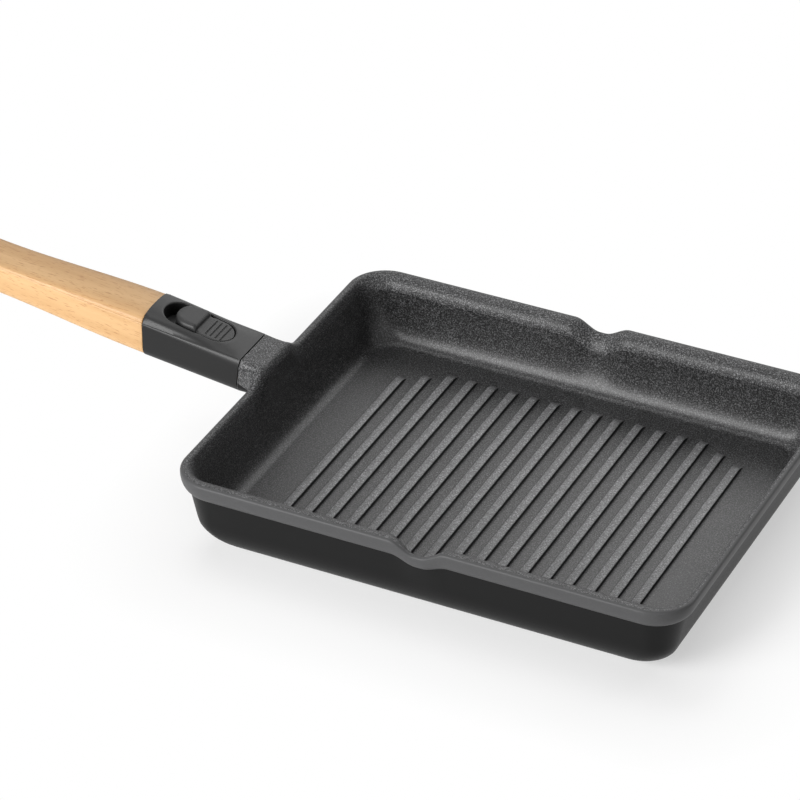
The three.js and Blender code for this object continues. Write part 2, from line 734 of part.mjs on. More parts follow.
// Thumb slide: hump at the rear, a concave step, then a ramp with grip grooves, and the stem below
function thumbSlide() {
  const humpFront = slideRear - humpLength;
  const base = recessFloor + clearance;
  const side = new THREE.Shape();
  side.moveTo(-slideRear, base);
  side.lineTo(-slideFront, base);
  side.lineTo(-slideFront, rampLow);
  side.lineTo(-humpFront + humpStep, rampHigh);
  side.quadraticCurveTo(-humpFront + humpStep * 0.3, rampHigh, -humpFront, humpTop - humpEdgeRound);
  side.quadraticCurveTo(-humpFront - humpEdgeRound * 0.2, humpTop, -humpFront - humpEdgeRound, humpTop);
  side.lineTo(-slideRear + humpEdgeRound, humpTop);
  side.quadraticCurveTo(-slideRear, humpTop, -slideRear, humpTop - humpEdgeRound);
  const body = acrossHandle(side, slideWidth + 2 * overcut, 5)
    .intersect(pill(slideFront, slideRear, slideWidth / 2, base - overcut, humpTop + overcut));
  const slope = (rampHigh - rampLow) / (humpFront - humpStep - slideFront);
  const grooves = Array.from({ length: grooveCount }, (_, i) => {
    const u = humpFront - humpStep - (i + 0.5) * groovePitch;
    const surface = rampLow + slope * (u - slideFront);
    return block(u - grooveWidth / 2, u + grooveWidth / 2, -grooveLength / 2, grooveLength / 2,
      surface - grooveDepth, surface + overcut);
  });
  const stem = block(stemFront, stemRear, -stemWidth / 2, stemWidth / 2, deckUnderside, base + overcut);
  const screwHole = rodUp(
    (stemFront + stemRear) / 2, 0, deckUnderside - overcut,
    shoeUnderside + shoeThickness + slideScrewBite + clearance,
    slideScrewDiameter + fitRoom);
  return cut(joined(cut(body, ...grooves), stem), screwHole);
}

// Shoe: runs under the deck and carries the stirrup bar that lifts the leaf
function slideShoe() {
  const screwU = (stemFront + stemRear) / 2;
  const plate = block(shoeFront, shoeRear, -shoeHalf, shoeHalf, shoeUnderside, shoeTop);
  const arms = [1, -1].map((side) => {
    const edges = [side * (stirrupOuterHalf - stirrupArm), side * stirrupOuterHalf].sort((a, b) => a - b);
    return block(barFront, barFront + stirrupLength, edges[0], edges[1], barUnderside, shoeTop);
  });
  const bar = block(
    barFront, barFront + stirrupLength, -stirrupOuterHalf, stirrupOuterHalf, barUnderside, barTop);
  const headHole = rodUp(
    screwU, 0, shoeUnderside - overcut, shoeUnderside + slideScrewHeadDepth + clearance,
    slideScrewHead + fitRoom);
  const hole = rodUp(screwU, 0, shoeUnderside - overcut, shoeTop + overcut, slideScrewDiameter + fitRoom);
  return cut(joined(plate, ...arms, bar), headHole, hole);
}

// Helix of a compression spring along the handle, one unbroken wire
class SpringLine extends THREE.Curve {
  constructor(from, to, v) {
    super();
    Object.assign(this, { from, to, v });
  }

  getPoint(t, target = new THREE.Vector3()) {
    const angle = 2 * Math.PI * springTurns * t;
    const radius = (springDiameter - springWire) / 2;
    const inset = springWire / 2;
    const u = lerp(this.from + inset, this.to - inset, t);
    return target.set(-u, this.v + radius * Math.cos(angle), springAxis + radius * Math.sin(angle));
  }
}

function slideSpring(side) {
  const line = new SpringLine(shoeRear + clearance, bulkheadFront - clearance, side * springOffset);
  const wireSides = 5;
  const corners = Array.from({ length: wireSides }, (_, i) => {
    const angle = (2 * Math.PI * i) / wireSides;
    return new THREE.Vector2(Math.cos(angle), Math.sin(angle)).multiplyScalar(springWire / 2);
  });
  return new THREE.ExtrudeGeometry(new THREE.Shape(corners), { steps: springTurns * 8, extrudePath: line });
}

// Least distance between two turns of a spring, measured on points of its line
function springLeastGap() {
  const line = new SpringLine(shoeRear + clearance, bulkheadFront - clearance, 0);
  const perTurn = 24;
  const points = line.getPoints(perTurn * springTurns);
  let least = Infinity;
  points.forEach((p, i) => {
    points.slice(i + perTurn / 2).forEach((q) => {
      least = Math.min(least, p.distanceTo(q) - springWire);
    });
  });
  return least;
}

// Latch leaf: anchored at the rear, dipped behind the stirrup bar, with its hook in the tongue's notch
function leafScrewPlaces() {
  const u = (bossFront + bossRear) / 2;
  return [1, -1].map((side) => ({ u, v: side * leafScrewSpacing / 2 }));
}

function latchLeaf() {
  const dipStart = barFront + stirrupLength + shoeLead;
  const dipEnd = dipStart + slideTravel + dipRamp;
  const rear = bossRear - clearance;
  const upper = [
    [hookFront, leafTop], [dipStart, leafTop],
    [dipStart + dipRamp, leafTop - leafDip], [dipEnd - dipRamp, leafTop - leafDip],
    [dipEnd, leafTop], [rear, leafTop],
  ];
  const lower = upper.slice(1).map(([u, w]) => [u, w - leafThickness]).reverse();
  const hook = [
    [hookRear, leafUnderside], [hookRear, tongueTop - hookDepth + hookTipChamfer],
    [hookRear - hookTipChamfer, tongueTop - hookDepth], [hookFront, tongueTop - hookDepth],
  ];
  const shape = new THREE.Shape([...upper, ...lower, ...hook].map(([u, w]) => new THREE.Vector2(-u, w)));
  const holes = leafScrewPlaces().map(({ u, v }) =>
    rodUp(u, v, leafUnderside - overcut, leafTop + overcut, leafScrewDiameter + fitRoom));
  return cut(acrossHandle(shape, leafWidth, 1), ...holes);
}

function grip() {
  const steps = 9;
  const buttSteps = 5;
  const straight = gripLength - gripButtRound;
  const stations = [
    ...Array.from({ length: steps }, (_, i) => gripFront + straight * i / steps),
    ...Array.from({ length: buttSteps + 1 }, (_, i) =>
      gripFront + straight + gripButtRound * Math.sin((Math.PI / 2) * i / buttSteps)),
  ];
  const lean = (u) => jointLean * (1 - ease((u - gripFront) / gripLeanRun));
  const wood = solidOf(loft(stations.map((u) => handleRing(gripSection(u), u, lean(u)))));
  const spigotEnd = ferruleLength + spigotLength + clearance;
  return cut(
    wood,
    rodAlong(gripFront - spigotLength, spigotEnd, boltAxis, spigotDiameter + fitRoom),
    rodAlong(spigotEnd - overcut, insertRear + clearance, boltAxis, insertDiameter + fitRoom));
}

function gripBolt() {
  const head = rodAlong(boltHeadFront, boltHeadRear, boltAxis, boltHeadDiameter);
  const shank = rodAlong(boltHeadRear - overcut, boltRear, boltAxis, boltDiameter, 16);
  const key = rodAlong(boltHeadFront - overcut, boltHeadFront + boltKeyDepth, boltAxis, boltKeySize, 6);
  return cut(joined(head, shank), key);
}

function boltWasher() {
  return cut(
    rodAlong(washerFront, washerRear, boltAxis, washerDiameter),
    rodAlong(washerFront - overcut, washerRear + overcut, boltAxis, boltDiameter + fitRoom));
}

function gripInsert() {
  return cut(
    rodAlong(insertFront, insertRear, boltAxis, insertDiameter),
    rodAlong(insertFront - overcut, boltRear + clearance, boltAxis, boltDiameter + fitRoom));
}

console.log(`least gap between spring turns ${springLeastGap().toFixed(2)} mm`);

// Assembly: the pan stands on its base, the handle hangs on the seam in its own tilted group
const pan = new THREE.Group();
pan.add(nodeMesh('pan_body', panBody(), coating));
pan.add(nodeMesh('induction_plate', plateSlab(0, 0, plateThickness), steel));

const handle = new THREE.Group();
handle.position.set(seamX, 0, seamZ);
handle.rotation.y = handleTilt;
handle.add(nodeMesh('ferrule', ferrule(), moulding));
handle.add(nodeMesh('ferrule_cover', ferruleCover(), moulding));
handle.add(nodeMesh('socket_liner', socketLiner(), steel));
handle.add(nodeMesh('latch_leaf', latchLeaf(), springSteel));
handle.add(nodeMesh('grip', grip(), beech));
handle.add(nodeMesh('grip_bolt', gripBolt(), steel));
handle.add(nodeMesh('bolt_washer', boltWasher(), steel));
handle.add(nodeMesh('grip_insert', gripInsert(), brass));

const coverScrew = {
  head: coverScrewHead,
  headDepth: coverScrewHeadDepth,
  diameter: coverScrewDiameter,
  length: coverScrewLength,
};
const leafScrew = {
  head: leafScrewHead,
  headDepth: leafScrewHeadDepth,
  diameter: leafScrewDiameter,
  length: leafScrewHeadDepth + leafScrewBite,
};
const slideScrew = {
  head: slideScrewHead,
  headDepth: slideScrewHeadDepth,
  diameter: slideScrewDiameter,
  length: shoeThickness + slideScrewBite,
};
['left', 'right'].forEach((side, i) => {
  const cover = coverScrewPlaces()[i];
  const leaf = leafScrewPlaces()[i];
  const leafScrewFace = leafUnderside - clearance - leafScrewHeadDepth;
  handle.add(nodeMesh(`cover_screw_${side}`, screwUp(cover.u, cover.v, ferruleBottom, coverScrew), steel));
  handle.add(nodeMesh(`leaf_screw_${side}`, screwUp(leaf.u, leaf.v, leafScrewFace, leafScrew), steel));
  handle.add(nodeMesh(`slide_spring_${side}`, slideSpring(i ? -1 : 1), springSteel));
});

const slide = new THREE.Group();
const slideScrewU = (stemFront + stemRear) / 2;
slide.add(nodeMesh('thumb_slide', thumbSlide(), slideMoulding));
slide.add(nodeMesh('slide_shoe', slideShoe(), moulding));
slide.add(nodeMesh('slide_screw', screwUp(slideScrewU, 0, shoeUnderside, slideScrew), steel));
handle.add(slide);

const grillPan = new THREE.Group();
grillPan.add(pan, handle);

export default grillPan;
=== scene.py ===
import math
import bmesh
import bpy
from mathutils import Matrix, Vector


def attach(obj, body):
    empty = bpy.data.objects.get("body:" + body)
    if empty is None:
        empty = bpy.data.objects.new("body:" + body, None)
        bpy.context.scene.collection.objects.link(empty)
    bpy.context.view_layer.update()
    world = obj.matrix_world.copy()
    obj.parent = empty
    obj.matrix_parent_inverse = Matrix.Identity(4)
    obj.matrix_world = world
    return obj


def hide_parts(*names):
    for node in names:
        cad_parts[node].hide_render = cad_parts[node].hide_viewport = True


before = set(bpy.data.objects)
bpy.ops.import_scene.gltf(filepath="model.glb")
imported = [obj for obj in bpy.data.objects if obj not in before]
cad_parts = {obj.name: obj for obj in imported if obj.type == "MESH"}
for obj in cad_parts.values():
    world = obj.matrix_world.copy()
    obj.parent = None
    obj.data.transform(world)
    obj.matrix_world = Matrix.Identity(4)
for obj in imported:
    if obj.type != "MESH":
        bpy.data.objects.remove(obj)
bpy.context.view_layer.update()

mm = 0.001  # the values below are in mm, the scene is in metres


# small tools

def mix(a, b, t):
    return a + (b - a) * t


def clamp(t):
    return min(1.0, max(0.0, t))


def ease(t):
    t = clamp(t)
    return t * t * (3 - 2 * t)


def curve3(a, b, c, t):
    return tuple((1 - t) ** 2 * p + 2 * t * (1 - t) * q + t * t * r for p, q, r in zip(a, b, c))


def curve4(a, b, c, d, t):
    s = 1 - t
    return tuple(
        s ** 3 * p + 3 * s * s * t * q + 3 * s * t * t * r + t ** 3 * k
        for p, q, r, k in zip(a, b, c, d))


def shares(count):
    return [(k + 1) / count for k in range(count)]


# how far a quarter circle has fallen
def quarter(t):
    return 1 - math.sqrt(max(0, 1 - t * t))


def startClean():
    if bpy.context.object and bpy.context.object.mode != "OBJECT":
        bpy.ops.object.mode_set(mode="OBJECT")
    bpy.ops.object.select_all(action="DESELECT")


def pick(piece):
    startClean()
    piece.select_set(True)
    bpy.context.view_layer.objects.active = piece


# a circle of points is drawn out ring by ring, and each new ring is set in its place
def skinRings(name, rings, capFirst=True, capLast=True):
    startClean()
    bpy.ops.mesh.primitive_circle_add(vertices=len(rings[0]), radius=0.01, fill_type="NOTHING")
    piece = bpy.context.object
    piece.name = name
    piece.data.name = name
    bpy.ops.object.mode_set(mode="EDIT")
    bpy.ops.mesh.select_mode(type="VERT")
    bm = bmesh.from_edit_mesh(piece.data)
    column = bm.verts.layers.int.new("column")
    row = bm.verts.layers.int.new("row")
    bm.verts.ensure_lookup_table()
    for number, point in enumerate(rings[0]):
        vert = bm.verts[number]
        vert[column] = number
        vert.co = point
    bmesh.update_edit_mesh(piece.data)
    bpy.ops.mesh.select_all(action="SELECT")
    if capFirst:
        bpy.ops.mesh.edge_face_add()
    for number, ring in enumerate(rings[1:], 1):
        bpy.ops.mesh.extrude_edges_indiv()
        bm = bmesh.from_edit_mesh(piece.data)
        column = bm.verts.layers.int["column"]
        row = bm.verts.layers.int["row"]
        for vert in bm.verts:
            if vert.select:
                vert.co = ring[vert[column]]
                vert[row] = number
        bmesh.update_edit_mesh(piece.data)
    if capLast:
        bpy.ops.mesh.edge_face_add()
    bpy.ops.mesh.select_all(action="SELECT")
    bpy.ops.mesh.normals_make_consistent(inside=False)
    bpy.ops.object.mode_set(mode="OBJECT")
    return piece


# selects the faces or edges of a piece in edit mode that pass a test
def selectWhere(piece, kind, test):
    bpy.ops.mesh.select_mode(type=kind)
    bpy.ops.mesh.select_all(action="DESELECT")
    bm = bmesh.from_edit_mesh(piece.data)
    for element in bm.faces if kind == "FACE" else bm.edges:
        element.select_set(test(bm, element))
    bmesh.update_edit_mesh(piece.data)


# the selected faces take another of the piece's finishes
def paintSelected(piece, finish):
    piece.active_material_index = finish
    bpy.ops.object.material_slot_assign()
    bpy.ops.object.mode_set(mode="OBJECT")


# paints the faces between two rings, or only those whose middle passes a test
def paintRows(piece, first, last, finish, where=None):
    def chosen(bm, face):
        row = bm.verts.layers.int["row"]
        numbers = [vert[row] for vert in face.verts]
        there = where is None or where(face.calc_center_median())
        return there and min(numbers) >= first and max(numbers) <= last

    pick(piece)
    bpy.ops.object.mode_set(mode="EDIT")
    selectWhere(piece, "FACE", chosen)
    paintSelected(piece, finish)


def finishPiece(piece, body, angle=32):
    pick(piece)
    bpy.ops.object.transform_apply(location=True, rotation=True, scale=True)
    for name in ("column", "row"):
        if name in piece.data.attributes:
            piece.data.attributes.remove(piece.data.attributes[name])
    bpy.ops.object.shade_smooth_by_angle(angle=math.radians(angle))
    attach(piece, body)


def boxTool(name, place, size, turn=0.0):
    startClean()
    bpy.ops.mesh.primitive_cube_add(size=1, location=place, rotation=(0, turn, 0))
    tool = bpy.context.object
    tool.name = name
    tool.scale = size
    bpy.ops.object.transform_apply(location=True, rotation=True, scale=True)
    return tool


def cutWith(piece, tool, operation="DIFFERENCE"):
    pick(piece)
    step = piece.modifiers.new("cut", "BOOLEAN")
    step.operation = operation
    step.solver = "EXACT"
    step.object = tool
    bpy.ops.object.modifier_apply(modifier=step.name)
    pick(tool)
    bpy.ops.object.delete()


# the pan: one casting, drawn from the plate recess round the lip to the floor

pan = {
    "length": 268, "width": 220, "height": 46,
    "lipCorner": 20.5, "cornerTightening": 1, "wallCorner": 12, "baseCorner": 15.5, "innerCorner": 15,
    "lipBand": 9, "lipOverhang": 4.4, "lipRound": 1.6,
    "wallSpread": 3.4, "wallFoot": 18.5, "baseReach": 23,
    "rimFlat": 0.8, "rimWidth": 8.6, "rimRound": 7, "rimLean": 0.9, "rollDepth": 11, "rollReach": 1.0,
    "innerSpread": 1.1, "floor": 11.5, "filletHeight": 20, "filletReach": 8.7, "filletCorner": 1.2,
    "underFrom": 27, "endFlat": 2.2, "endRim": 4.8, "bandPull": ((0.45, 0.12), (0, 0.45)),
    "rowCounts": {
        "base": 12, "wall": 4, "under": 9, "band": 12, "edge": 5, "rimRound": 8, "inner": 12, "fillet": 9,
    },
}
plateSeat = {"halfLength": 88.3, "halfWidth": 63.3, "corner": 18.3, "depth": 1.5}
spout = {
    "dip": 5.6, "innerDip": 9, "reachDown": 30, "shift": 1.8, "shiftDown": 30,
    "outerWidth": 30, "outerFlat": 3, "innerWidth": 33, "innerFlat": 4,
}
lug = {
    "rise": 7.3, "flatWidth": 22, "width": 52, "reachDown": 16, "flare": 12, "seamSetback": 0.35,
    "rollFrom": 2.4, "rollCorner": (6.0, 0.7), "rollRows": 8, "underSquare": 0.57, "setbackFrom": 14.9,
    "bandMargin": 0.02, "edgeSteps": (0.12, 0.34, 0.56, 0.78, 0.92), "coatFrom": 131, "coatHalf": 24,
}
handle = {
    "tilt": math.radians(6.8), "seamX": -143.3, "seamZ": 54.647, "half": 15, "bottom": -20.4,
    "cornerWidth": 1.7, "cornerDepth": 5.6, "crease": 0.28, "bottomCorner": 7, "boltAxis": -12.2,
}


def stepDown(x, flat, width):
    return 1 - ease((abs(x) - flat / 2) / ((width - flat) / 2))


def reachShare(z, depth):
    return clamp(1 - (pan["height"] - z) / depth)


def wallInset(z):
    crease = pan["height"] - pan["lipRound"] - pan["lipBand"]
    foot = pan["lipOverhang"] + pan["wallSpread"]
    return mix(foot, pan["lipOverhang"], (z - pan["wallFoot"]) / (crease - pan["wallFoot"]))


# rows of the section: zone, share of the zone, inset from the lip, height
def panRows():
    height = pan["height"]
    crease = height - pan["lipRound"] - pan["lipBand"]
    foot = pan["lipOverhang"] + pan["wallSpread"]
    lean = pan["wallSpread"] / (crease - pan["wallFoot"])
    footInner = pan["rimWidth"] + pan["innerSpread"]
    filletTop = pan["floor"] + pan["filletHeight"]
    rows = [("seatTop", 0, 0, plateSeat["depth"]), ("seatEdge", 0, 0, 0)]
    rows.append(("base", 0, foot + pan["baseReach"], 0))

    def add(zone, path):
        for t in shares(pan["rowCounts"][zone]):
            inset, z = path(t)
            rows.append((zone, t, inset, z))

    def wallPath(low, high):
        return lambda t: (wallInset(mix(low, high, t)), mix(low, high, t))

    start = (foot + pan["baseReach"], 0)
    bend = (foot + lean * pan["wallFoot"], 0)
    add("base", lambda t: curve3(start, bend, (foot, pan["wallFoot"]), t))
    add("wall", wallPath(pan["wallFoot"], pan["underFrom"]))
    add("under", wallPath(pan["underFrom"], crease))
    over, band, lipEdge = pan["lipOverhang"], pan["lipBand"], pan["lipRound"]
    lipTop = (0, height - lipEdge)
    pull = [(over * a, crease + band * b) for a, b in pan["bandPull"]]
    add("band", lambda t: curve4((over, crease), *pull, lipTop, t))
    add("edge", lambda t: curve3(lipTop, (0, height), (lipEdge, height), t))
    flatEnd = (lipEdge + pan["rimFlat"], height)
    rows.append(("flat", 1, *flatEnd))
    rimEnd = (pan["rimWidth"] + pan["rimLean"], height - pan["rimRound"])
    add("rimRound", lambda t: curve3(flatEnd, (pan["rimWidth"], height), rimEnd, t))
    rollPull = (pan["rimWidth"] + pan["rollReach"], height - pan["rollDepth"])
    add("inner", lambda t: curve3(rimEnd, rollPull, (footInner, filletTop), t))
    cornerPull = (footInner + pan["filletCorner"], pan["floor"])
    floorEnd = (footInner + pan["filletReach"], pan["floor"])
    add("fillet", lambda t: curve3((footInner, filletTop), cornerPull, floorEnd, t))
    return rows


# places of the columns along the sides, and how many there are between
panGrid = {
    "spoutStep": 1.3, "spoutSteps": 20, "pastSpout": 6, "pastLug": 5, "cornerSteps": 14, "frontSteps": 14,
    "faceSteps": 8, "faceExtra": [12.2, 14.2, 14.7], "flareAngle": 10,
    "flareExtra": [28.5, 30, 32, 34, 36.5, 39, 42],
}


# columns round the pan: side, sign, limit, share past the limit
def panColumns():
    columns = []
    steps = panGrid["spoutSteps"]
    spoutPlaces = [k * panGrid["spoutStep"] for k in range(-steps, steps + 1)]
    steps = panGrid["faceSteps"]
    lugHalf = [handle["half"] * k / steps for k in range(1, steps + 1)]
    for angle in range(panGrid["flareAngle"], 91, panGrid["flareAngle"]):
        lugHalf.append(handle["half"] + lug["flare"] * (1 - math.cos(math.radians(angle))))
    lugHalf = sorted(lugHalf + panGrid["faceExtra"] + panGrid["flareExtra"])
    lugPlaces = [-y for y in reversed(lugHalf)] + [0] + lugHalf

    def corner(signX, signY, start):
        for k in range(panGrid["cornerSteps"] + 1):
            angle = start + 90 * k / panGrid["cornerSteps"]
            columns.append(("corner", signX, signY, math.radians(angle)))

    def side(name, sign, places, pastSteps):
        limit = places[-1]
        past = shares(pastSteps)[:-1]
        columns.extend((name, sign, -limit, share) for share in reversed(past))
        columns.extend((name, sign, place, 0) for place in places)
        columns.extend((name, sign, limit, share) for share in past)

    for k in range(1, panGrid["frontSteps"]):
        columns.append(("front", 1, 0, 2 * k / panGrid["frontSteps"] - 1))
    corner(1, 1, 0)
    side("spoutSide", 1, spoutPlaces, panGrid["pastSpout"])
    corner(-1, 1, 90)
    side("lugSide", 1, lugPlaces, panGrid["pastLug"])
    corner(-1, -1, 180)
    side("spoutSide", -1, spoutPlaces, panGrid["pastSpout"])
    corner(1, -1, 270)
    return columns


innerZones = ("flat", "rimRound", "inner", "fillet")


def ringShape(row):
    zone, _, inset, z = row
    if zone in ("seatTop", "seatEdge"):
        return plateSeat["halfLength"], plateSeat["halfWidth"], plateSeat["corner"]
    least = pan["innerCorner"] if zone in innerZones else pan["wallCorner"]
    radius = max(pan["lipCorner"] - inset * pan["cornerTightening"], least)
    if zone not in innerZones:
        radius = mix(pan["baseCorner"], radius, ease(z / pan["wallFoot"]))
    return pan["length"] / 2 - inset, pan["width"] / 2 - inset, radius


# the rim is narrower at both ends of the pan: how far each row moves out there
def endShift(row):
    zone, _, inset, z = row
    flatEnd = pan["lipRound"] + pan["rimFlat"]
    rimEnd = pan["rimWidth"] + pan["rimLean"]
    if zone == "flat":
        return flatEnd - pan["endFlat"]
    if zone == "rimRound":
        return inset - mix(pan["endFlat"], pan["endRim"], (inset - flatEnd) / (rimEnd - flatEnd))
    if zone in ("inner", "fillet"):
        drop = pan["height"] - pan["rimRound"] - pan["floor"]
        return (rimEnd - pan["endRim"]) * ((z - pan["floor"]) / drop) ** 2
    return 0


# how a spout bends the wall: (change of inset, drop)
def spoutBend(row, x):
    zone, _, inset, z = row
    outer = stepDown(x, spout["outerFlat"], spout["outerWidth"])
    inner = stepDown(x, spout["innerFlat"], spout["innerWidth"])
    across = 0
    if zone in innerZones:
        rimStart = pan["lipRound"]
        across = clamp((inset - rimStart) / (pan["rimWidth"] + pan["rimLean"] - rimStart))
    drop = mix(spout["dip"] * outer, spout["innerDip"] * inner, across) * reachShare(z, spout["reachDown"])
    return spout["shift"] * across * inner * ease(reachShare(z, spout["shiftDown"])), drop


def humpShape(y):
    return stepDown(y, lug["flatWidth"], lug["width"])


# the seam's outline: lowest and highest point at a place across the handle
def seamEnds(y):
    across = min(abs(y), handle["half"])
    top = bottom = 0
    edge = handle["half"] - handle["cornerWidth"]
    if across > edge:
        t = 1 - math.sqrt(max(0, 1 - (across - edge) / handle["cornerWidth"]))
        top = -handle["cornerDepth"] * (2 * t * (1 - t) * handle["crease"] + t * t)
    edge = handle["half"] - handle["bottomCorner"]
    if across > edge:
        t = 1 - math.sqrt(max(0, 1 - (across - edge) / handle["bottomCorner"]))
        bottom = handle["bottomCorner"] * t * t
    return handle["seamZ"] + handle["bottom"] + bottom, handle["seamZ"] + top


def seamFace(z):
    return -handle["seamX"] + (handle["seamZ"] - z) * math.tan(handle["tilt"])


# a point of the wall where the lug grows out of it: (distance out, height)
def lugBend(row, y, out, z):
    zone, share, inset, _ = row
    past = abs(y) - handle["half"]
    if past >= lug["flare"]:
        return out, z
    run = lug["flare"]
    if past > 0:
        run = lug["flare"] - math.sqrt(lug["flare"] ** 2 - (lug["flare"] - past) ** 2)
    weight = ease(run / lug["flare"])
    low, high = seamEnds(y)
    setback = lug["seamSetback"] if abs(y) > lug["setbackFrom"] else 0
    if zone == "under":
        root = pan["length"] / 2 - wallInset(pan["underFrom"])
        along = 1 - math.cos(share * math.pi / 2) ** lug["underSquare"] if share < 1 else 1
        up = math.sin(share * math.pi / 2) ** lug["underSquare"]
        goalZ = mix(pan["underFrom"], low, up)
        goal = mix(root, seamFace(low) - lug["seamSetback"], along)
    elif zone == "band":
        count, margin = pan["rowCounts"]["band"], lug["bandMargin"]
        steps = (share - 1 / count) * count / (count - 1)
        goalZ = mix(low, high, clamp(margin + (1 - 2 * margin) * steps)) if share < 1 else high
        goal = seamFace(goalZ) - (lug["seamSetback"] if share == 1 else setback)
    elif zone in ("edge", "flat"):
        levels = lug["edgeSteps"]
        steps = 1 if zone == "flat" else levels[round(share * len(levels)) - 1]
        goal = mix(seamFace(high) - lug["seamSetback"], pan["length"] / 2 - inset, steps)
        goalZ = mix(high, pan["height"] + lug["rise"] * humpShape(y), steps)
    else:
        return out, z
    return mix(out, goal, weight), mix(z, goalZ, weight)


rows = panRows()
columns = panColumns()
rollRows = [k for k, row in enumerate(rows) if row[0] == "rimRound"]
rollRows += [k for k, row in enumerate(rows) if row[0] == "inner"][:lug["rollRows"]]


# the broad roll from the lug's top into the pan
def lugRoll(number, y, inset, z):
    if number not in rollRows:
        return inset, z
    share = (rollRows.index(number) + 1) / len(rollRows)
    last = rows[rollRows[-1]]
    hump = humpShape(y)
    end = (last[2] - endShift(last), last[3] + lug["rise"] * hump * reachShare(last[3], lug["reachDown"]))
    top = pan["height"] + lug["rise"] * hump
    corner = (lug["rollCorner"][0], top - lug["rollCorner"][1])
    broad = curve3((lug["rollFrom"], top), corner, end, share)
    return mix(inset, broad[0], hump), mix(z, broad[1], hump)


def panPoint(number, column):
    row = rows[number]
    zone, _, _, z = row
    halfX, halfY, radius = ringShape(row)
    kind, sign, place, past = column
    halfX += endShift(row)
    if kind == "corner":
        x = sign * (halfX - radius) + radius * math.cos(past)
        y = place * (halfY - radius) + radius * math.sin(past)
    elif kind == "front":
        x = halfX
        y = past * (halfY - radius)
    elif kind == "spoutSide":
        along = place + math.copysign((halfX - radius - abs(place)) * past, place)
        shift, drop = spoutBend(row, along) if not zone.startswith("seat") else (0, 0)
        x = -sign * along
        y = sign * (halfY + shift)
        z -= drop
    else:
        along = place + math.copysign((halfY - radius - abs(place)) * past, place)
        y = -along
        out = halfX
        if not zone.startswith("seat"):
            z += lug["rise"] * humpShape(y) * reachShare(row[3], lug["reachDown"])
            out, z = lugBend(row, y, out, z)
            rolled, z = lugRoll(number, y, pan["length"] / 2 - out, z)
            out = pan["length"] / 2 - rolled
        x = -out
    return Vector((x, y, z)) * mm


# finishes

def newTree(name):
    material = bpy.data.materials.new(name)
    material.use_nodes = True
    tree = material.node_tree
    shader = tree.nodes["Principled BSDF"]
    return material, tree, shader


def addNode(tree, kind, x, y, inputs=None, **values):
    node = tree.nodes.new(kind)
    node.location = (x, y)
    for name, value in values.items():
        setattr(node, name, value)
    for label, value in (inputs or {}).items():
        node.inputs[label].default_value = value
    return node


# each link: a node, its output, the next node, its input
def wire(tree, *links):
    for source, output, target, socket in links:
        tree.links.new(source.outputs[output], target.inputs[socket])


def addGroup(name, inputs, outputs):
    group = bpy.data.node_groups.new(name, "ShaderNodeTree")
    for label, kind, value in inputs:
        socket = group.interface.new_socket(name=label, in_out="INPUT", socket_type=kind)
        if value is not None:
            socket.default_value = value
    for label, kind in outputs:
        group.interface.new_socket(name=label, in_out="OUTPUT", socket_type=kind)
    return group, addNode(group, "NodeGroupInput", -900, 0), addNode(group, "NodeGroupOutput", 700, 0)


# noise drawn out along one direction
def stretchedNoise(tree, size, detail, y=0, turn=0.0):
    place = addNode(tree, "ShaderNodeTexCoord", -1500, y)
    turned = addNode(
        tree, "ShaderNodeMapping", -1250, y, {"Rotation": (0, turn, 0), "Scale": size}, vector_type="TEXTURE")
    noise = addNode(tree, "ShaderNodeTexNoise", -1000, y, {"Scale": 1, "Detail": detail})
    wire(tree, (place, "Object", turned, "Vector"), (turned, "Vector", noise, "Vector"))
    return noise


# roughness and a little bump, each from a value of the pattern
def addSatin(tree, shader, tone, height, roughness, bump, depth):
    rough = addNode(
        tree, "ShaderNodeMapRange", -550, -150, {"To Min": roughness[0], "To Max": roughness[1]})
    lift = addNode(tree, "ShaderNodeBump", -300, -350, {"Strength": bump, "Distance": depth})
    tree.links.new(tone, rough.inputs["Value"])
    tree.links.new(height, lift.inputs["Height"])
    wire(tree, (rough, "Result", shader, "Roughness"), (lift, "Normal", shader, "Normal"))


# fine pale grains in a dark coat, with a cloudy tone under them
def speckleGroup():
    group, given, out = addGroup(
        "coatSpeckle",
        [("Vector", "NodeSocketVector", None), ("Grain", "NodeSocketFloat", 1500.0),
         ("Spread", "NodeSocketFloat", 0.5), ("Cloud", "NodeSocketFloat", 0.1)],
        [("Speck", "NodeSocketFloat"), ("Tone", "NodeSocketFloat"), ("Height", "NodeSocketFloat")])
    fine = addNode(group, "ShaderNodeTexNoise", -650, 200, {"Detail": 3, "Roughness": 0.7})
    dots = addNode(group, "ShaderNodeTexVoronoi", -650, -100)
    cloud = addNode(group, "ShaderNodeTexNoise", -650, -400, {"Scale": 45, "Detail": 4})
    sharp = addNode(group, "ShaderNodeMapRange", -400, 200, {"From Min": 0.5, "From Max": 0.7})
    dot = addNode(group, "ShaderNodeMapRange", -400, -100, {"From Min": 0.5, "From Max": 0.1})
    soft = addNode(group, "ShaderNodeMapRange", -400, -400, {"From Min": 0.3, "From Max": 0.7})
    grains = addNode(group, "ShaderNodeMix", -150, 100, data_type="FLOAT")
    tone = addNode(group, "ShaderNodeMath", 150, -300, operation="MULTIPLY")
    for node in (fine, dots, cloud):
        wire(group, (given, "Vector", node, "Vector"))
    wire(
        group,
        (given, "Grain", fine, "Scale"), (given, "Grain", dots, "Scale"),
        (fine, "Fac", sharp, "Value"), (dots, "Distance", dot, "Value"), (cloud, "Fac", soft, "Value"),
        (given, "Spread", grains, "Factor"), (sharp, "Result", grains, "A"), (dot, "Result", grains, "B"),
        (soft, "Result", tone, 0), (given, "Cloud", tone, 1),
        (grains, "Result", out, "Speck"), (tone, "Value", out, "Tone"), (fine, "Fac", out, "Height"))
    return group


speckle = speckleGroup()


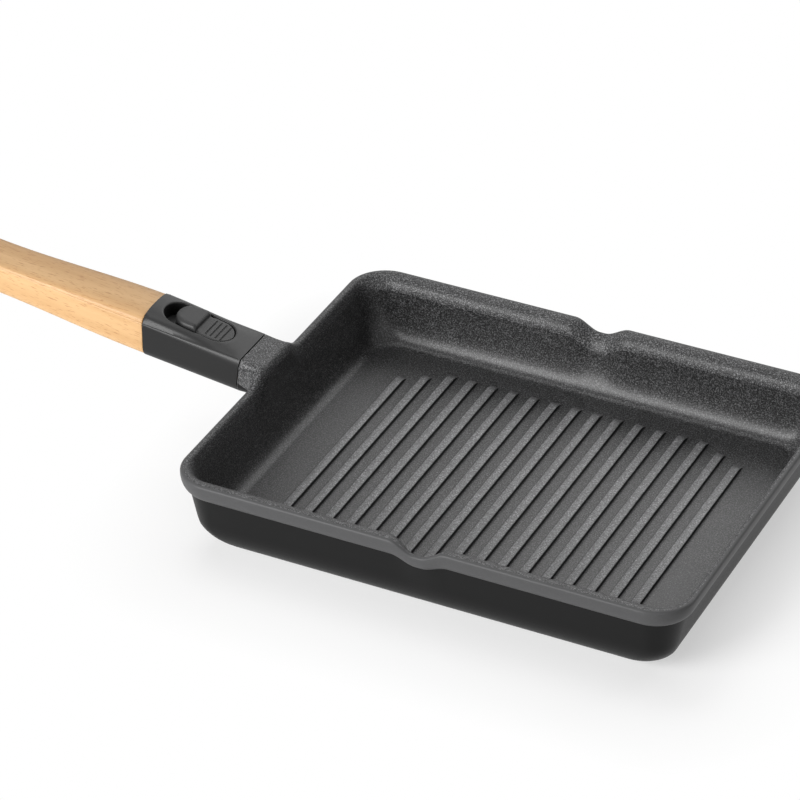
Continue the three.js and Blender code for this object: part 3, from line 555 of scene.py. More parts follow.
# a grey with a trace of blue
def grey(value):
    return value, value, value * 1.02, 1


# a coat: two greys told apart by the speckle, a little bump, and a satin that varies
def coatFinish(name, dark, pale, roughness, gloss=0.5, grain=1400.0, spread=0.3, cloud=0.1, bump=0.1):
    material, tree, shader = newTree(name)
    shader.inputs["Specular IOR Level"].default_value = gloss
    place = addNode(tree, "ShaderNodeTexCoord", -1100, 0)
    pattern = {"Grain": grain, "Spread": spread, "Cloud": cloud}
    specks = addNode(tree, "ShaderNodeGroup", -850, 0, pattern, node_tree=speckle)
    colour = addNode(tree, "ShaderNodeMix", -550, 150, {"A": grey(dark), "B": grey(pale)}, data_type="RGBA")
    shade = {"B": (0.55, 0.55, 0.56, 1)}
    clouded = addNode(
        tree, "ShaderNodeMix", -300, 150, shade, data_type="RGBA", blend_type="MULTIPLY")
    wire(
        tree,
        (place, "Object", specks, "Vector"), (specks, "Speck", colour, "Factor"),
        (colour, "Result", clouded, "A"), (specks, "Tone", clouded, "Factor"),
        (clouded, "Result", shader, "Base Color"))
    spots, height = specks.outputs["Speck"], specks.outputs["Height"]
    addSatin(tree, shader, spots, height, (roughness - 0.04, roughness + 0.08), bump, 0.00014)
    return material


coats = {
    "wellCoat": {"dark": 0.004, "pale": 0.21, "roughness": 0.38, "gloss": 0.33, "bump": 0.7},
    "rimCoat": {"dark": 0.014, "pale": 0.36, "roughness": 0.48, "gloss": 0.26, "bump": 0.5},
    "ribCoat": {"dark": 0.07, "pale": 0.5, "roughness": 0.44, "bump": 0.6},
    # near-black painted shade for the ribs' steep sides and one top edge
    "ribPaintedShade": {"dark": 0.006, "pale": 0.02, "roughness": 0.5, "gloss": 0.2, "bump": 0.3},
    # paler grey on the lip band: partly the band's own satin, partly painted reflection of the lit floor
    "lipSatinPaintedReflection": {
        "dark": 0.064, "pale": 0.077, "roughness": 0.48, "gloss": 0.22, "grain": 900, "bump": 0.06},
    "outerEnamel": {
        "dark": 0.003, "pale": 0.005, "roughness": 0.45, "gloss": 0.15, "grain": 900, "bump": 0.05},
    "baseCoat": {"dark": 0.012, "pale": 0.03, "roughness": 0.6},
    "handleMoulding": {
        "dark": 0.004, "pale": 0.008, "roughness": 0.45, "gloss": 0.36, "grain": 2200, "bump": 0.12},
    "slideMoulding": {
        "dark": 0.01, "pale": 0.016, "roughness": 0.48, "gloss": 0.36, "grain": 2200, "bump": 0.1},
}
coat = {name: coatFinish(name, **values) for name, values in coats.items()}

wood = {
    "dark": (0.53, 0.31, 0.135, 1), "pale": (0.65, 0.41, 0.2, 1), "fleck": (0.36, 0.16, 0.05, 1),
    "streakSize": (0.09, 0.006, 0.006), "fleckSize": (0.0048, 0.00055, 0.00055),
    "poreSize": (0.003, 0.0003, 0.0003), "fleckFrom": 0.6, "fleckTo": 0.7, "fleckShare": 0.7,
    "roughness": (0.42, 0.58), "bump": 0.12, "poreDepth": 0.0001,
}


# beech: long soft streaks, short brown flecks and a fine pore, all along the handle
def beechFinish():
    material, tree, shader = newTree("oiledBeech")
    streak = stretchedNoise(tree, wood["streakSize"], 4, 300, handle["tilt"])
    fleck = stretchedNoise(tree, wood["fleckSize"], 1, 0, handle["tilt"])
    pore = stretchedNoise(tree, wood["poreSize"], 2, -300, handle["tilt"]).outputs["Fac"]
    streaks = addNode(tree, "ShaderNodeMapRange", -750, 300, {"From Min": 0.3, "From Max": 0.7})
    flecks = addNode(
        tree, "ShaderNodeMapRange", -750, 0,
        {"From Min": wood["fleckFrom"], "From Max": wood["fleckTo"], "To Max": wood["fleckShare"]})
    tone = addNode(tree, "ShaderNodeMix", -500, 250, {"A": wood["dark"], "B": wood["pale"]}, data_type="RGBA")
    flecked = addNode(tree, "ShaderNodeMix", -250, 200, {"B": wood["fleck"]}, data_type="RGBA")
    wire(
        tree,
        (streak, "Fac", streaks, "Value"), (fleck, "Fac", flecks, "Value"),
        (streaks, "Result", tone, "Factor"), (tone, "Result", flecked, "A"),
        (flecks, "Result", flecked, "Factor"), (flecked, "Result", shader, "Base Color"))
    addSatin(tree, shader, pore, pore, wood["roughness"], wood["bump"], wood["poreDepth"])
    return material


beech = beechFinish()


# drawn or brushed metal: fine lines along one direction
def metalFinish(name, dark, pale, roughness):
    material, tree, shader = newTree(name)
    shader.inputs["Metallic"].default_value = 1
    brush = stretchedNoise(tree, (0.01, 0.0002, 0.0002), 3)
    colour = addNode(tree, "ShaderNodeMix", -400, 150, {"A": (*dark, 1), "B": (*pale, 1)}, data_type="RGBA")
    wire(tree, (brush, "Fac", colour, "Factor"), (colour, "Result", shader, "Base Color"))
    lines = brush.outputs["Fac"]
    addSatin(tree, shader, lines, lines, (roughness - 0.08, roughness + 0.08), 0.1, 0.00005)
    return material


metals = {
    "plateSteel": {"dark": (0.42, 0.42, 0.43), "pale": (0.6, 0.6, 0.61), "roughness": 0.36},
    "screwSteel": {"dark": (0.5, 0.5, 0.51), "pale": (0.66, 0.66, 0.67), "roughness": 0.3},
    "springSteel": {"dark": (0.28, 0.29, 0.31), "pale": (0.42, 0.43, 0.45), "roughness": 0.32},
    "turnedBrass": {"dark": (0.52, 0.35, 0.1), "pale": (0.68, 0.47, 0.16), "roughness": 0.3},
}
metal = {name: metalFinish(name, **values) for name, values in metals.items()}
print("finishes ready")


# pan shell

panPiece = skinRings("panShell", [[panPoint(k, column) for column in columns] for k in range(len(rows))])
panCoats = ["wellCoat", "outerEnamel", "baseCoat", "lipSatinPaintedReflection", "rimCoat"]
for name in panCoats:
    panPiece.data.materials.append(coat[name])
rowOf = {row[0]: number for number, row in enumerate(rows)}  # the last row of each zone
baseStart = rowOf["base"] - pan["rowCounts"]["base"]


def onLug(place):
    return place.x < -lug["coatFrom"] * mm and abs(place.y) < lug["coatHalf"] * mm


# the lip band rows take the paler grey, partly painted reflection of the lit floor; on the lug those rows
# take the rim coat instead
for first, last, name, where in (
        (0, baseStart, "baseCoat", None),
        (baseStart, rowOf["under"], "outerEnamel", None),
        (rowOf["under"], rowOf["edge"], "lipSatinPaintedReflection", None),
        (rowOf["edge"], rowOf["rimRound"], "rimCoat", None),
        (rowOf["under"], rowOf["edge"], "rimCoat", onLug)):
    paintRows(panPiece, first, last, panCoats.index(name), where)
finishPiece(panPiece, "pan", 38)
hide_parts("pan_body")
print("pan shell:", len(panPiece.data.polygons), "faces")

ribs = {
    "count": 17, "pitch": 11.6, "top": 4.6, "height": 1.8, "draft": 0.2, "endRamp": 4.0, "reach": 76.4,
    "chamferStart": 69.6, "chamferSlope": 0.54, "sunk": 0.3, "edge": 0.35, "endRound": 2.5,
}


# one rib: a bar whose ends run out into the floor, with painted shade on its steep sides and along the -x
# edge of its top
def firstRib():
    base = pan["floor"] - ribs["sunk"]
    top = pan["floor"] + ribs["height"]
    width = ribs["top"] + 2 * ribs["draft"]
    length = 2 * (ribs["reach"] + ribs["endRamp"])
    nearTop = (top - 0.05) * mm
    bar = boxTool("rib", (0, 0, (base + top) / 2 * mm), (width * mm, length * mm, (top - base) * mm))
    for name in ("ribCoat", "ribPaintedShade"):
        bar.data.materials.append(coat[name])

    def endEdge(bm, edge):
        across = abs(edge.verts[0].co.x - edge.verts[1].co.x) > mm
        return across and all(vert.co.z > nearTop for vert in edge.verts)

    def longEdge(bm, edge):
        flat = [abs(face.normal.x) < 0.1 and face.normal.z > 0.05 for face in edge.link_faces]
        steep = [abs(face.normal.x) > 0.5 for face in edge.link_faces]
        return any(flat) and any(steep)

    bpy.ops.object.mode_set(mode="EDIT")
    selectWhere(bar, "FACE", lambda bm, face: face.normal.z > 0.9)
    bpy.ops.transform.resize(value=(ribs["top"] / width, 2 * ribs["reach"] / length, 1))
    selectWhere(bar, "EDGE", endEdge)
    bpy.ops.mesh.bevel(offset=ribs["endRound"] * mm, segments=5)
    selectWhere(bar, "EDGE", longEdge)
    bpy.ops.mesh.bevel(offset=ribs["edge"] * mm, segments=2)
    # painted shade: the steep sides and the bevel on the -x top edge take the near-black second finish,
    # standing for the shadow lines beside each rib
    selectWhere(bar, "FACE", lambda bm, face: face.normal.x < -0.3 or face.normal.x > 0.9)
    paintSelected(bar, 1)
    return bar


bars = [firstRib()]
while len(bars) < ribs["count"]:
    pick(bars[0])
    bpy.ops.object.duplicate(linked=False)
    bars.append(bpy.context.object)
for number, bar in enumerate(bars):
    offset = (number - (ribs["count"] - 1) / 2) * ribs["pitch"]
    shorter = ribs["chamferSlope"] * max(0, abs(offset) - ribs["chamferStart"])
    bar.location.x = offset * mm
    pick(bar)
    bpy.ops.object.mode_set(mode="EDIT")
    bm = bmesh.from_edit_mesh(bar.data)
    for sign in (1, -1):
        for vert in bm.verts:
            vert.select_set(vert.co.y * sign > 0)
        bm.select_flush_mode()
        bmesh.update_edit_mesh(bar.data)
        bpy.ops.transform.translate(value=(0, -sign * shorter * mm, 0))
    bpy.ops.object.mode_set(mode="OBJECT")
startClean()
for bar in bars:
    bar.select_set(True)
bpy.context.view_layer.objects.active = bars[0]
bpy.ops.object.join()
ribPiece = bpy.context.object
ribPiece.name = "grillRibs"
ribPiece.data.name = "grillRibs"
finishPiece(ribPiece, "pan", 40)
print("ribs:", ribs["count"])


# handle places: u from the seam to the butt, v across, w up from the plane of the top corners

def onHandle(u, v, w):
    tilt = handle["tilt"]
    x = handle["seamX"] - u * math.cos(tilt) + w * math.sin(tilt)
    z = handle["seamZ"] + u * math.sin(tilt) + w * math.cos(tilt)
    return Vector((x, v, z)) * mm


def handleBox(name, u0, u1, halfWidth, w0, w1, v=0):
    place = onHandle((u0 + u1) / 2, v, (w0 + w1) / 2)
    return boxTool(name, place, ((u1 - u0) * mm, 2 * halfWidth * mm, (w1 - w0) * mm), handle["tilt"])


def handleRod(name, u0, u1, diameter):
    startClean()
    bpy.ops.mesh.primitive_cylinder_add(
        vertices=48, radius=diameter / 2 * mm, depth=(u1 - u0) * mm,
        location=onHandle((u0 + u1) / 2, 0, handle["boltAxis"]),
        rotation=(0, handle["tilt"] + math.pi / 2, 0))
    rod = bpy.context.object
    rod.name = name
    bpy.ops.object.transform_apply(location=True, rotation=True, scale=True)
    return rod


# tongue: a bar with a notch for the latch, seen when the handle is off
tongue = {
    "half": 8, "top": -11.3, "bottom": -16.7, "length": 32.5, "chamfer": 1.5, "root": 6, "edge": 0.5,
    "notchFront": 6.7, "notchRear": 10.8, "notchDepth": 2,
}


def tongueSide():
    top, bottom, tip, chamfer = tongue["top"], tongue["bottom"], tongue["length"], tongue["chamfer"]
    notch = top - tongue["notchDepth"]
    return [
        (-tongue["root"], top), (tongue["notchFront"], top), (tongue["notchFront"], notch),
        (tongue["notchRear"], notch), (tongue["notchRear"], top), (tip - chamfer, top),
        (tip, top - chamfer), (tip, bottom + chamfer), (tip - chamfer, bottom), (-tongue["root"], bottom),
    ]


tonguePiece = skinRings(
    "tongue", [[onHandle(u, v, w) for u, w in tongueSide()] for v in (-tongue["half"], tongue["half"])])
pick(tonguePiece)
step = tonguePiece.modifiers.new("edges", "BEVEL")
step.width = tongue["edge"] * mm
step.segments = 2
step.limit_method = "ANGLE"
bpy.ops.object.modifier_apply(modifier=step.name)
tonguePiece.data.materials.append(coat["lipSatinPaintedReflection"])
finishPiece(tonguePiece, "pan")

ferrule = {
    "start": 0.3, "length": 55.4, "rearNarrowing": 0.4, "crown": 4.9, "shoulder": 0.8, "crownFlat": 0.6,
    "rearCornerWidth": 0.6, "rearCornerDepth": 1.2, "lean": math.radians(6.5), "softness": 0.3,
    "cornerSteps": 6, "spigot": (45.7, 65.4, 9), "bore": (43.7, 66.4, 4.6),
}
slot = {
    "front": 11.1, "rear": 49.5, "half": 9, "floor": -3, "edge": 0.8, "floorRound": 0.4, "floorMid": 0.12,
    "sideSteps": 12, "endSteps": 7, "flankSteps": 9, "edgeAngles": (22, 45, 68, 90),
}


def ferruleSection(u):
    t = u / ferrule["length"]
    return {
        "half": handle["half"] - ferrule["rearNarrowing"] * t,
        "crown": ferrule["crown"] * math.sin(clamp(t) * math.pi / 2),
        "top": 0,
        "bottom": handle["bottom"],
        "cornerWidth": mix(handle["cornerWidth"], ferrule["rearCornerWidth"], t),
        "cornerDepth": mix(handle["cornerDepth"], ferrule["rearCornerDepth"], t),
        "bottomCorner": handle["bottomCorner"],
        "crease": handle["crease"] * (1 - t),
        "softness": ferrule["softness"] * (1 - t),
    }


# height of the domed top over its corners
def domeAt(section, v):
    edge = section["half"] - section["cornerWidth"]
    a = (-edge, section["top"])
    b = (-edge * (1 - section["softness"]), section["top"] + section["crown"] * ferrule["shoulder"])
    c = (-section["half"] * ferrule["crownFlat"], section["top"] + section["crown"])
    d = (0, section["top"] + section["crown"])
    goal = -min(abs(v), edge)
    low, high = 0.0, 1.0
    for _ in range(40):
        middle = (low + high) / 2
        if curve4(a, b, c, d, middle)[0] < goal:
            low = middle
        else:
            high = middle
    return curve4(a, b, c, d, low)[1]


# the outline below the dome, from the top corner down one side: (v, w)
def sidePath(section, side=4, bottom=7):
    half, top = section["half"], section["top"]
    edge = half - section["cornerWidth"]
    cornerEnd = (half, top - section["cornerDepth"])
    radius = section["bottomCorner"]
    crease = (half, top - section["crease"] * section["cornerDepth"])
    points = [curve3((edge, top), crease, cornerEnd, t) for t in shares(ferrule["cornerSteps"])]
    lowSide = (half, section["bottom"] + radius)
    points += [(half, mix(cornerEnd[1], lowSide[1], t)) for t in shares(side)]
    lowEnd = (half - radius, section["bottom"])
    points += [curve3(lowSide, (half, section["bottom"]), lowEnd, t) for t in shares(bottom)]
    return points


def leaning(u, v, w, lean):
    return onHandle(u + w * math.tan(lean), v, w)


def ferrulePoint(u, v, w):
    return leaning(u, v, w, ferrule["lean"] * u / ferrule["length"])


# columns round the slot: place on the slot's edge, outward direction, place on the top's border
def slotColumns():
    half = slot["half"]
    front, rear = slot["front"] + half, slot["rear"] - half
    start, end = ferrule["start"], ferrule["length"]
    columns = []

    def border(u):
        section = ferruleSection(u)
        return section["half"] - section["cornerWidth"]

    def fan(centre, sign, limit, angles):
        reach = abs(limit - centre)
        for angle in angles:
            a = math.radians(angle)
            inner = (centre + sign * half * math.cos(a), half * math.sin(a))
            away = (sign * math.cos(a), math.sin(a))
            if abs(math.tan(a)) * reach <= border(limit) + 1e-6:
                outer = (limit, reach * math.tan(a))
                kind = "end"
            else:
                u = centre
                for _ in range(20):
                    u = centre + sign * border(u) / abs(math.tan(a))
                outer = (u, math.copysign(border(u), a))
                kind = "side"
            columns.append((inner, away, outer, kind))

    frontCorner = math.degrees(math.atan2(border(start), front - start))
    rearCorner = math.degrees(math.atan2(border(end), end - rear))

    def spread(corner):
        rise = [corner * t for t in shares(slot["endSteps"])]
        rise += [mix(corner, 90, t) for t in shares(slot["flankSteps"])]
        return [-a for a in reversed(rise)] + [0] + rise

    places = [mix(front, rear, t) for t in shares(slot["sideSteps"])[:-1]]
    fan(front, -1, start, spread(frontCorner))
    columns += [((u, half), (0, 1), (u, border(u)), "side") for u in places]
    fan(rear, 1, end, list(reversed(spread(rearCorner))))
    columns += [((u, -half), (0, -1), (u, -border(u)), "side") for u in reversed(places)]
    return columns


def ferruleRings():
    columns = slotColumns()
    rings = []

    def topAt(u, v):
        return domeAt(ferruleSection(u), v)

    def slotRing(grow, level):
        ring = []
        for inner, away, outer, kind in columns:
            u, v = inner[0] + away[0] * grow, inner[1] + away[1] * grow
            ring.append(ferrulePoint(u, v, level(u, v)))
        return ring

    floor = slot["floor"]
    rings.append(slotRing(-slot["floorRound"], lambda u, v: floor))
    rings.append(slotRing(-slot["floorMid"], lambda u, v: floor + slot["floorMid"]))
    rings.append(slotRing(0, lambda u, v: floor + slot["floorRound"]))
    edge = slot["edge"]
    for drop in (0.75, 0.25, 0):
        rings.append(slotRing(0, lambda u, v: mix(topAt(u, v) - edge, floor + slot["floorRound"], drop)))
    for angle in slot["edgeAngles"]:
        a = math.radians(angle)
        grow = edge * (1 - math.cos(a))
        rings.append(slotRing(grow, lambda u, v: topAt(u, v) - edge * (1 - math.sin(a))))
    for t in shares(6):
        ring = []
        for inner, away, outer, kind in columns:
            begin = (inner[0] + away[0] * edge, inner[1] + away[1] * edge)
            u, v = mix(begin[0], outer[0], t), mix(begin[1], outer[1], t)
            ring.append(ferrulePoint(u, v, topAt(u, v)))
        rings.append(ring)
    steps = len(sidePath(ferruleSection(0)))
    for k in range(steps):
        ring = []
        for inner, away, outer, kind in columns:
            u, v = outer
            section = ferruleSection(u)
            across, level = sidePath(section)[k]
            if kind == "side":
                ring.append(ferrulePoint(u, math.copysign(across, v), level))
            else:
                border = section["half"] - section["cornerWidth"]
                dome = topAt(u, v) * max(0, 1 - (k + 1) / ferrule["cornerSteps"])
                ring.append(ferrulePoint(u, v / border * across, level + dome))
        rings.append(ring)
    return rings


# rooms cut into the ferrule: from, to, half width, low, high, place across
rooms = {
    "mouth": (-1, 6, 8.3, -17, -11, 0), "works": (5, 33.5, 9.6, -21.4, -5, 0),
    "boltRoom": (38.5, 44.7, 9.6, -21.4, -5, 0), "leafRoom": (33, 39, 9.6, -21.4, -8.2, 0),
    "bossRight": (33, 39, 2.55, -8.5, -5, -7.05), "bossLeft": (33, 39, 2.55, -8.5, -5, 7.05),
    "coverSeat": (5, 49.7, 9.6, -21.4, -18, 0), "stemSlot": (16.1, 31.7, 3, -6, -2, 0),
}

ferrulePiece = skinRings("ferruleShell", ferruleRings())
cutWith(ferrulePiece, handleRod("spigot", *ferrule["spigot"]), "UNION")
for name, room in rooms.items():
    cutWith(ferrulePiece, handleBox(name, *room))
cutWith(ferrulePiece, handleRod("bore", *ferrule["bore"]))
ferrulePiece.data.materials.append(coat["handleMoulding"])
finishPiece(ferrulePiece, "handle", 35)
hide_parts("ferrule")
print("ferrule:", len(ferrulePiece.data.polygons), "faces")


# thumb slide: ramp with finger grooves, a hollow step, and the hump

slide = {
    "front": 11.4, "rear": 43, "half": 8.7, "base": -2.7,
    "rampLow": 1.0, "rampHigh": 2.3, "rampEnd": 25.2, "humpFront": 28.4, "humpTop": 5.8,
    "edge": 0.9, "humpEdge": 2.2,
    "grooves": 4, "groovePitch": 2.75, "grooveHalf": 6.7, "grooveDepth": 0.55, "grooveWidth": 0.9,
    "grooveEnd": 0.4, "stepCurve": 2.4, "stem": (16.4, 25.4, 2.7, -5, -2),
}
slideGrid = {
    "frontAngles": (4, 12, 22, 33, 45, 58, 72), "rearAngles": (4, 9, 15, 22, 33, 45, 58, 72),
    "grooveShares": (-1.02, -0.8, -0.5, 0, 0.5, 0.8, 1.02),
    "stepShares": (0, 0.3, 0.5, 0.65, 0.78, 0.88, 0.95, 1), "browShares": (0.06, 0.16, 0.3, 0.5, 0.75, 1),
    "humpPlaces": (31, 33, 35), "leastGap": 0.03, "acrossSteps": 16, "edgeAngles": (22, 45, 68, 90),
}


def slideTop(u):
    if u <= slide["rampEnd"]:
        along = (u - slide["front"]) / (slide["rampEnd"] - slide["front"])
        return mix(slide["rampLow"], slide["rampHigh"], along)
    edge = slide["humpEdge"]
    brow = slide["humpTop"] - edge
    if u <= slide["humpFront"]:
        t = (u - slide["rampEnd"]) / (slide["humpFront"] - slide["rampEnd"])
        return mix(slide["rampHigh"], brow, quarter(t ** (slide["stepCurve"] / 2)))
    return brow + edge * (1 - quarter(1 - min(1, (u - slide["humpFront"]) / edge)))


def grooveMiddles():
    return [slide["rampEnd"] - (k + 0.5) * slide["groovePitch"] for k in range(slide["grooves"])]


def grooveDrop(u, v):
    ends = clamp((slide["grooveHalf"] - abs(v)) / slide["grooveEnd"])
    depths = [clamp(1 - ((u - middle) / slide["grooveWidth"] * 2) ** 2) for middle in grooveMiddles()]
    return slide["grooveDepth"] * max(depths) * ends


def slideStations():
    front, rear, half = slide["front"], slide["rear"], slide["half"]
    brow, width = slide["humpFront"], slide["grooveWidth"] / 2
    stations = [front + half * (1 - math.cos(math.radians(a))) for a in slideGrid["frontAngles"]]
    stations += [rear - half * (1 - math.cos(math.radians(a))) for a in slideGrid["rearAngles"]]
    stations += [middle + width * t for middle in grooveMiddles() for t in slideGrid["grooveShares"]]
    stations += [mix(slide["rampEnd"], brow, t) for t in slideGrid["stepShares"]]
    stations += [brow + slide["humpEdge"] * t for t in slideGrid["browShares"]]
    stations += slideGrid["humpPlaces"]
    spaced = []
    for u in sorted(stations):
        if not spaced or u - spaced[-1] > slideGrid["leastGap"]:
            spaced.append(u)
    return spaced


def slideRing(u):
    front, rear, half = slide["front"], slide["rear"], slide["half"]
    near = max(0, front + half - u, u - (rear - half))
    width = math.sqrt(max(0.01, half * half - near * near))
    top = slideTop(u)
    if u > rear - half:  # the hump rounds off towards its rear end
        top -= slide["humpEdge"] * quarter(clamp((u - rear) / slide["humpEdge"] + 1))
    hump = ease((u - slide["rampEnd"]) / (slide["humpFront"] - slide["rampEnd"]))
    edge = min(mix(slide["edge"], slide["humpEdge"], hump), width * 0.9)
    flat = width - edge
    steps = slideGrid["acrossSteps"]
    across = [k / steps * flat for k in range(-steps, steps + 1)]
    points = [(v, top - grooveDrop(u, v)) for v in across]
    angles = [math.radians(a) for a in slideGrid["edgeAngles"]]
    side = [(flat + edge * math.sin(a), top - edge * (1 - math.cos(a))) for a in angles]
    side += [(width, mix(top - edge, slide["base"], 0.5)), (width, slide["base"])]
    points += side + [(-v, w) for v, w in reversed(side)]
    return [onHandle(u, v, w) for v, w in points]


slidePiece = skinRings("thumbSlide", [slideRing(u) for u in slideStations()])
cutWith(slidePiece, handleBox("stem", *slide["stem"]), "UNION")
slidePiece.data.materials.append(coat["slideMoulding"])
finishPiece(slidePiece, "thumb_slide", 40)
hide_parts("thumb_slide")
print("slide:", len(slidePiece.data.polygons), "faces")


# grip: beech, drawn in to a waist and swelling to the butt

grip = {
    "front": 55.7, "length": 150, "leanRun": 40, "waistAt": 92, "waistWidth": 23.8, "waistHeight": 17.3,
    "waistDrop": 1.4, "frontCrown": 3.8, "waistCrown": 1.7, "stepIn": 0.2,
    "buttWidth": 26.5, "buttHeight": 19, "buttRound": 14, "buttDraw": 0.5, "frontEdge": 0.5,
    "holes": {"spigotHole": (45.7, 65.7, 9.6), "insertHole": (64.7, 86.3, 8.1)},
}


def gripSection(u):
    along = u - grip["front"]
    start = ferruleSection(ferrule["length"])
    waist = ease(along / grip["waistAt"])
    swell = ease((along - grip["waistAt"]) / (grip["length"] - grip["waistAt"]))
    half = mix(start["half"] - grip["stepIn"], grip["waistWidth"] / 2, waist)
    half = mix(half, grip["buttWidth"] / 2, swell)
    height = mix(-handle["bottom"] - grip["stepIn"], grip["waistHeight"], waist)
    height = mix(height, grip["buttHeight"], swell)
    top = -grip["waistDrop"] * waist
    past = clamp((along - grip["length"]) / grip["buttRound"] + 1)
    draw = 1 - grip["buttDraw"] * quarter(past)
    edge = grip["frontEdge"] * quarter(1 - clamp(along / grip["frontEdge"]))
    shrink = height / 2 * (1 - draw)
    return {
        **start,
        "half": half * draw - edge,
        "crown": mix(grip["frontCrown"], grip["waistCrown"], waist) * draw,
        "top": top - shrink - edge,
        "bottom": top - height + shrink + edge,
    }


def gripRing(u):
    section = gripSection(u)
    lean = ferrule["lean"] * (1 - ease((u - grip["front"]) / grip["leanRun"]))
    edge = section["half"] - section["cornerWidth"]
    across = [edge * math.sin(math.radians(a)) for a in range(-80, 81, 10)]
    dome = [(v, domeAt(section, v)) for v in across]
    points = [(-edge, section["top"])] + dome + [(edge, section["top"])]
    down = sidePath(section, 3, 8)
    points += down + [(-v, w) for v, w in reversed(down)]
    return [leaning(u, v, w, lean) for v, w in points]


def gripStations():
    front, length, butt = grip["front"], grip["length"], grip["buttRound"]
    stations = [front + grip["frontEdge"] * t for t in (0, 0.08, 0.3, 0.6, 1)]
    straight = length - butt
    stations += [front + grip["frontEdge"] + (straight - grip["frontEdge"]) * t for t in shares(34)]
    stations += [front + straight + butt * math.sin(math.pi / 2 * t) for t in shares(10)]
    return stations


gripPiece = skinRings("gripWood", [gripRing(u) for u in gripStations()])
for name, hole in grip["holes"].items():
    cutWith(gripPiece, handleRod(name, *hole))
gripPiece.data.materials.append(beech)
finishPiece(gripPiece, "handle", 35)
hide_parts("grip")
print("grip:", len(gripPiece.data.polygons), "faces")


# carried-over nodes

nodeFinishes = {
    "plateSteel": ("induction_plate", "socket_liner"),
    "screwSteel": (
        "grip_bolt", "bolt_washer", "slide_screw", "cover_screw_left", "cover_screw_right",
        "leaf_screw_left", "leaf_screw_right"),
    "springSteel": ("latch_leaf", "slide_spring_left", "slide_spring_right"),
    "turnedBrass": ("grip_insert",),
    "handleMoulding": ("ferrule_cover", "slide_shoe"),
}
for finish, names in nodeFinishes.items():
    for name in names:
        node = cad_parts[name]
        node.data.materials.clear()
        node.data.materials.append(metal.get(finish) or coat[finish])


# camera, light and floor

view = {
    "azimuth": 0.4519720726778062, "elevation": 0.5822953619148977, "distance": 2165.7477,
    "target": (-92.083, 62.765, 0.334), "focal": 4215.38536, "imageWidth": 800,
    "sensor": 36, "clipEnd": 50,
}


def addCamera():
    az, el = view["azimuth"], view["elevation"]
    back = Vector((math.sin(az) * math.cos(el), -math.cos(az) * math.cos(el), math.sin(el)))
    right = Vector((math.cos(az), math.sin(az), 0))
    up = back.cross(right)
    lens = bpy.data.cameras.new("photoCamera")
    lens.sensor_width = view["sensor"]
    lens.lens = view["focal"] * lens.sensor_width / view["imageWidth"]
    lens.clip_end = view["clipEnd"]
    camera = bpy.data.objects.new("photoCamera", lens)
    bpy.context.scene.collection.objects.link(camera)
    turn = Matrix((right, up, back)).transposed().to_4x4()
    place = (Vector(view["target"]) + back * view["distance"]) * mm
    camera.matrix_world = Matrix.Translation(place) @ turn
    bpy.context.scene.camera = camera


lamps = {
    "backPanel": {"direction": (0.14, 0.77, 0.6), "distance": 1.8, "size": (2.2, 0.9), "power": 14},
    "topSoftbox": {"direction": (-0.3, 0.15, 0.94), "distance": 1.8, "size": (0.9, 0.7), "power": 6},
    "frontSoftbox": {"direction": (-0.4, -0.82, 0.4), "distance": 1.8, "size": (1.0, 0.9), "power": 42},
    "sidePanel": {"direction": (0.72, -0.66, 0.22), "distance": 1.6, "size": (0.7, 0.5), "power": 2.5},
}
studio = {"aim": (-0.03, 0, 0.02), "ambient": 0.025}


def addSoftbox(name, direction, distance, size, power):
    lamp = bpy.data.lights.new(name, "AREA")
    lamp.shape = "RECTANGLE"
    lamp.size, lamp.size_y = size
    lamp.energy = power
    box = bpy.data.objects.new(name, lamp)
    bpy.context.scene.collection.objects.link(box)
    away = Vector(direction).normalized()
    box.location = Vector(studio["aim"]) + away * distance
    box.rotation_euler = away.to_track_quat("Z", "Y").to_euler()


# rays that show the background itself: straight to the camera, mirrored, or through glass
def seenRays(tree):
    path = addNode(tree, "ShaderNodeLightPath", -600, 200)
    first = addNode(tree, "ShaderNodeMath", -450, 350, operation="MAXIMUM")
    both = addNode(tree, "ShaderNodeMath", -450, 200, operation="MAXIMUM")
    wire(
        tree,
        (path, "Is Camera Ray", first, 0), (path, "Is Glossy Ray", first, 1),
        (first, "Value", both, 0), (path, "Is Transmission Ray", both, 1))
    return both


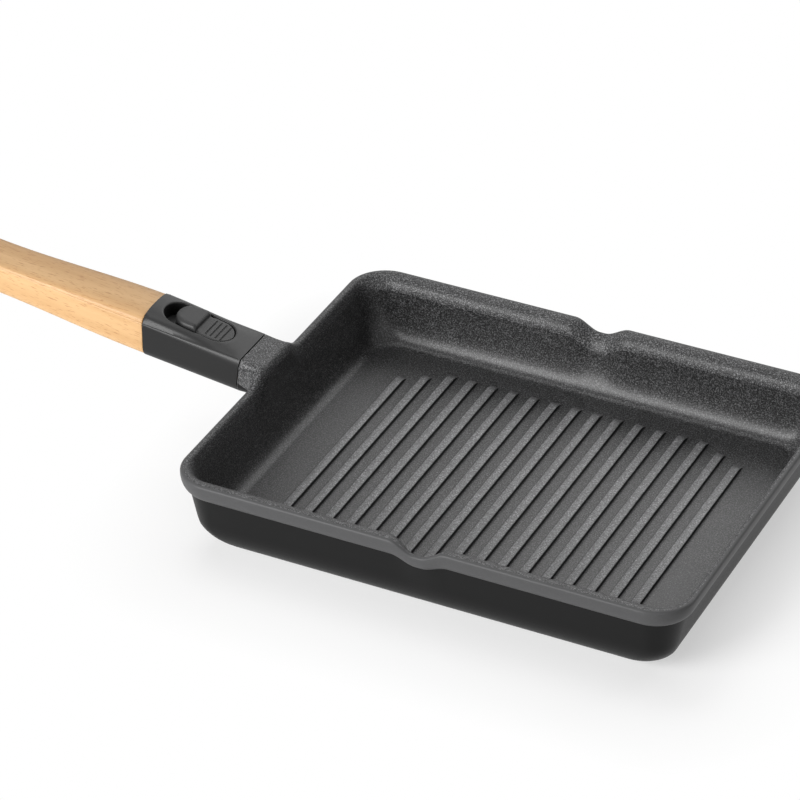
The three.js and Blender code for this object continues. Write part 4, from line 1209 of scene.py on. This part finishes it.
def addLight():
    for name, values in lamps.items():
        addSoftbox(name, **values)
    world = bpy.data.worlds.new("studio")
    bpy.context.scene.world = world
    world.use_nodes = True
    tree = world.node_tree
    tree.nodes.clear()
    white = addNode(tree, "ShaderNodeBackground", -200, 100, {"Color": (1, 1, 1, 1)})
    dim = addNode(
        tree, "ShaderNodeBackground", -200, -100, {"Color": (1, 1, 1, 1), "Strength": studio["ambient"]})
    choose = addNode(tree, "ShaderNodeMixShader", 100, 0)
    out = addNode(tree, "ShaderNodeOutputWorld", 300, 0)
    wire(
        tree,
        (seenRays(tree), "Value", choose, "Fac"), (dim, "Background", choose, 1),
        (white, "Background", choose, 2), (choose, "Shader", out, "Surface"))


floor = {
    "size": 12, "drop": 0.0002, "colour": 0.95, "roughness": 0.9, "gloss": 0.1,
    "panHalf": (0.122, 0.098, 0), "clearTo": 0.07, "lift": 0.5,
}


# pale floor that takes the shadow near the pan and is plain white further off
def addFloor():
    startClean()
    bpy.ops.mesh.primitive_plane_add(size=floor["size"], location=(0, 0, -floor["drop"]))
    plane = bpy.context.object
    plane.name = "studioFloor"
    material, tree, shader = newTree("studioFloor")
    shader.inputs["Base Color"].default_value = (floor["colour"],) * 3 + (1,)
    shader.inputs["Roughness"].default_value = floor["roughness"]
    shader.inputs["Specular IOR Level"].default_value = floor["gloss"]
    place = addNode(tree, "ShaderNodeTexCoord", -1000, -200)
    side = addNode(tree, "ShaderNodeVectorMath", -1400, -200, operation="ABSOLUTE")
    past = addNode(
        tree, "ShaderNodeVectorMath", -1200, -200, {1: floor["panHalf"]}, operation="SUBTRACT")
    outside = addNode(tree, "ShaderNodeVectorMath", -1000, -400, operation="MAXIMUM")
    far = addNode(tree, "ShaderNodeVectorMath", -800, -200, operation="LENGTH")
    clear = addNode(
        tree, "ShaderNodeMapRange", -600, -200, {"From Max": floor["clearTo"], "To Min": floor["lift"]})
    share = addNode(tree, "ShaderNodeMath", -300, 0, operation="MULTIPLY")
    white = addNode(tree, "ShaderNodeEmission", -300, -300)
    choose = addNode(tree, "ShaderNodeMixShader", 400, 0)
    out = tree.nodes["Material Output"]
    wire(
        tree,
        (place, "Object", side, 0), (side, "Vector", past, 0), (past, "Vector", outside, 0),
        (outside, "Vector", far, 0), (far, "Value", clear, "Value"),
        (seenRays(tree), "Value", share, 0), (clear, "Result", share, 1), (share, "Value", choose, "Fac"),
        (shader, "BSDF", choose, 1), (white, "Emission", choose, 2), (choose, "Shader", out, "Surface"))
    plane.data.materials.append(material)


addCamera()
addLight()
addFloor()
bpy.context.scene.view_settings.view_transform = "Standard"
print("camera, light and floor set")
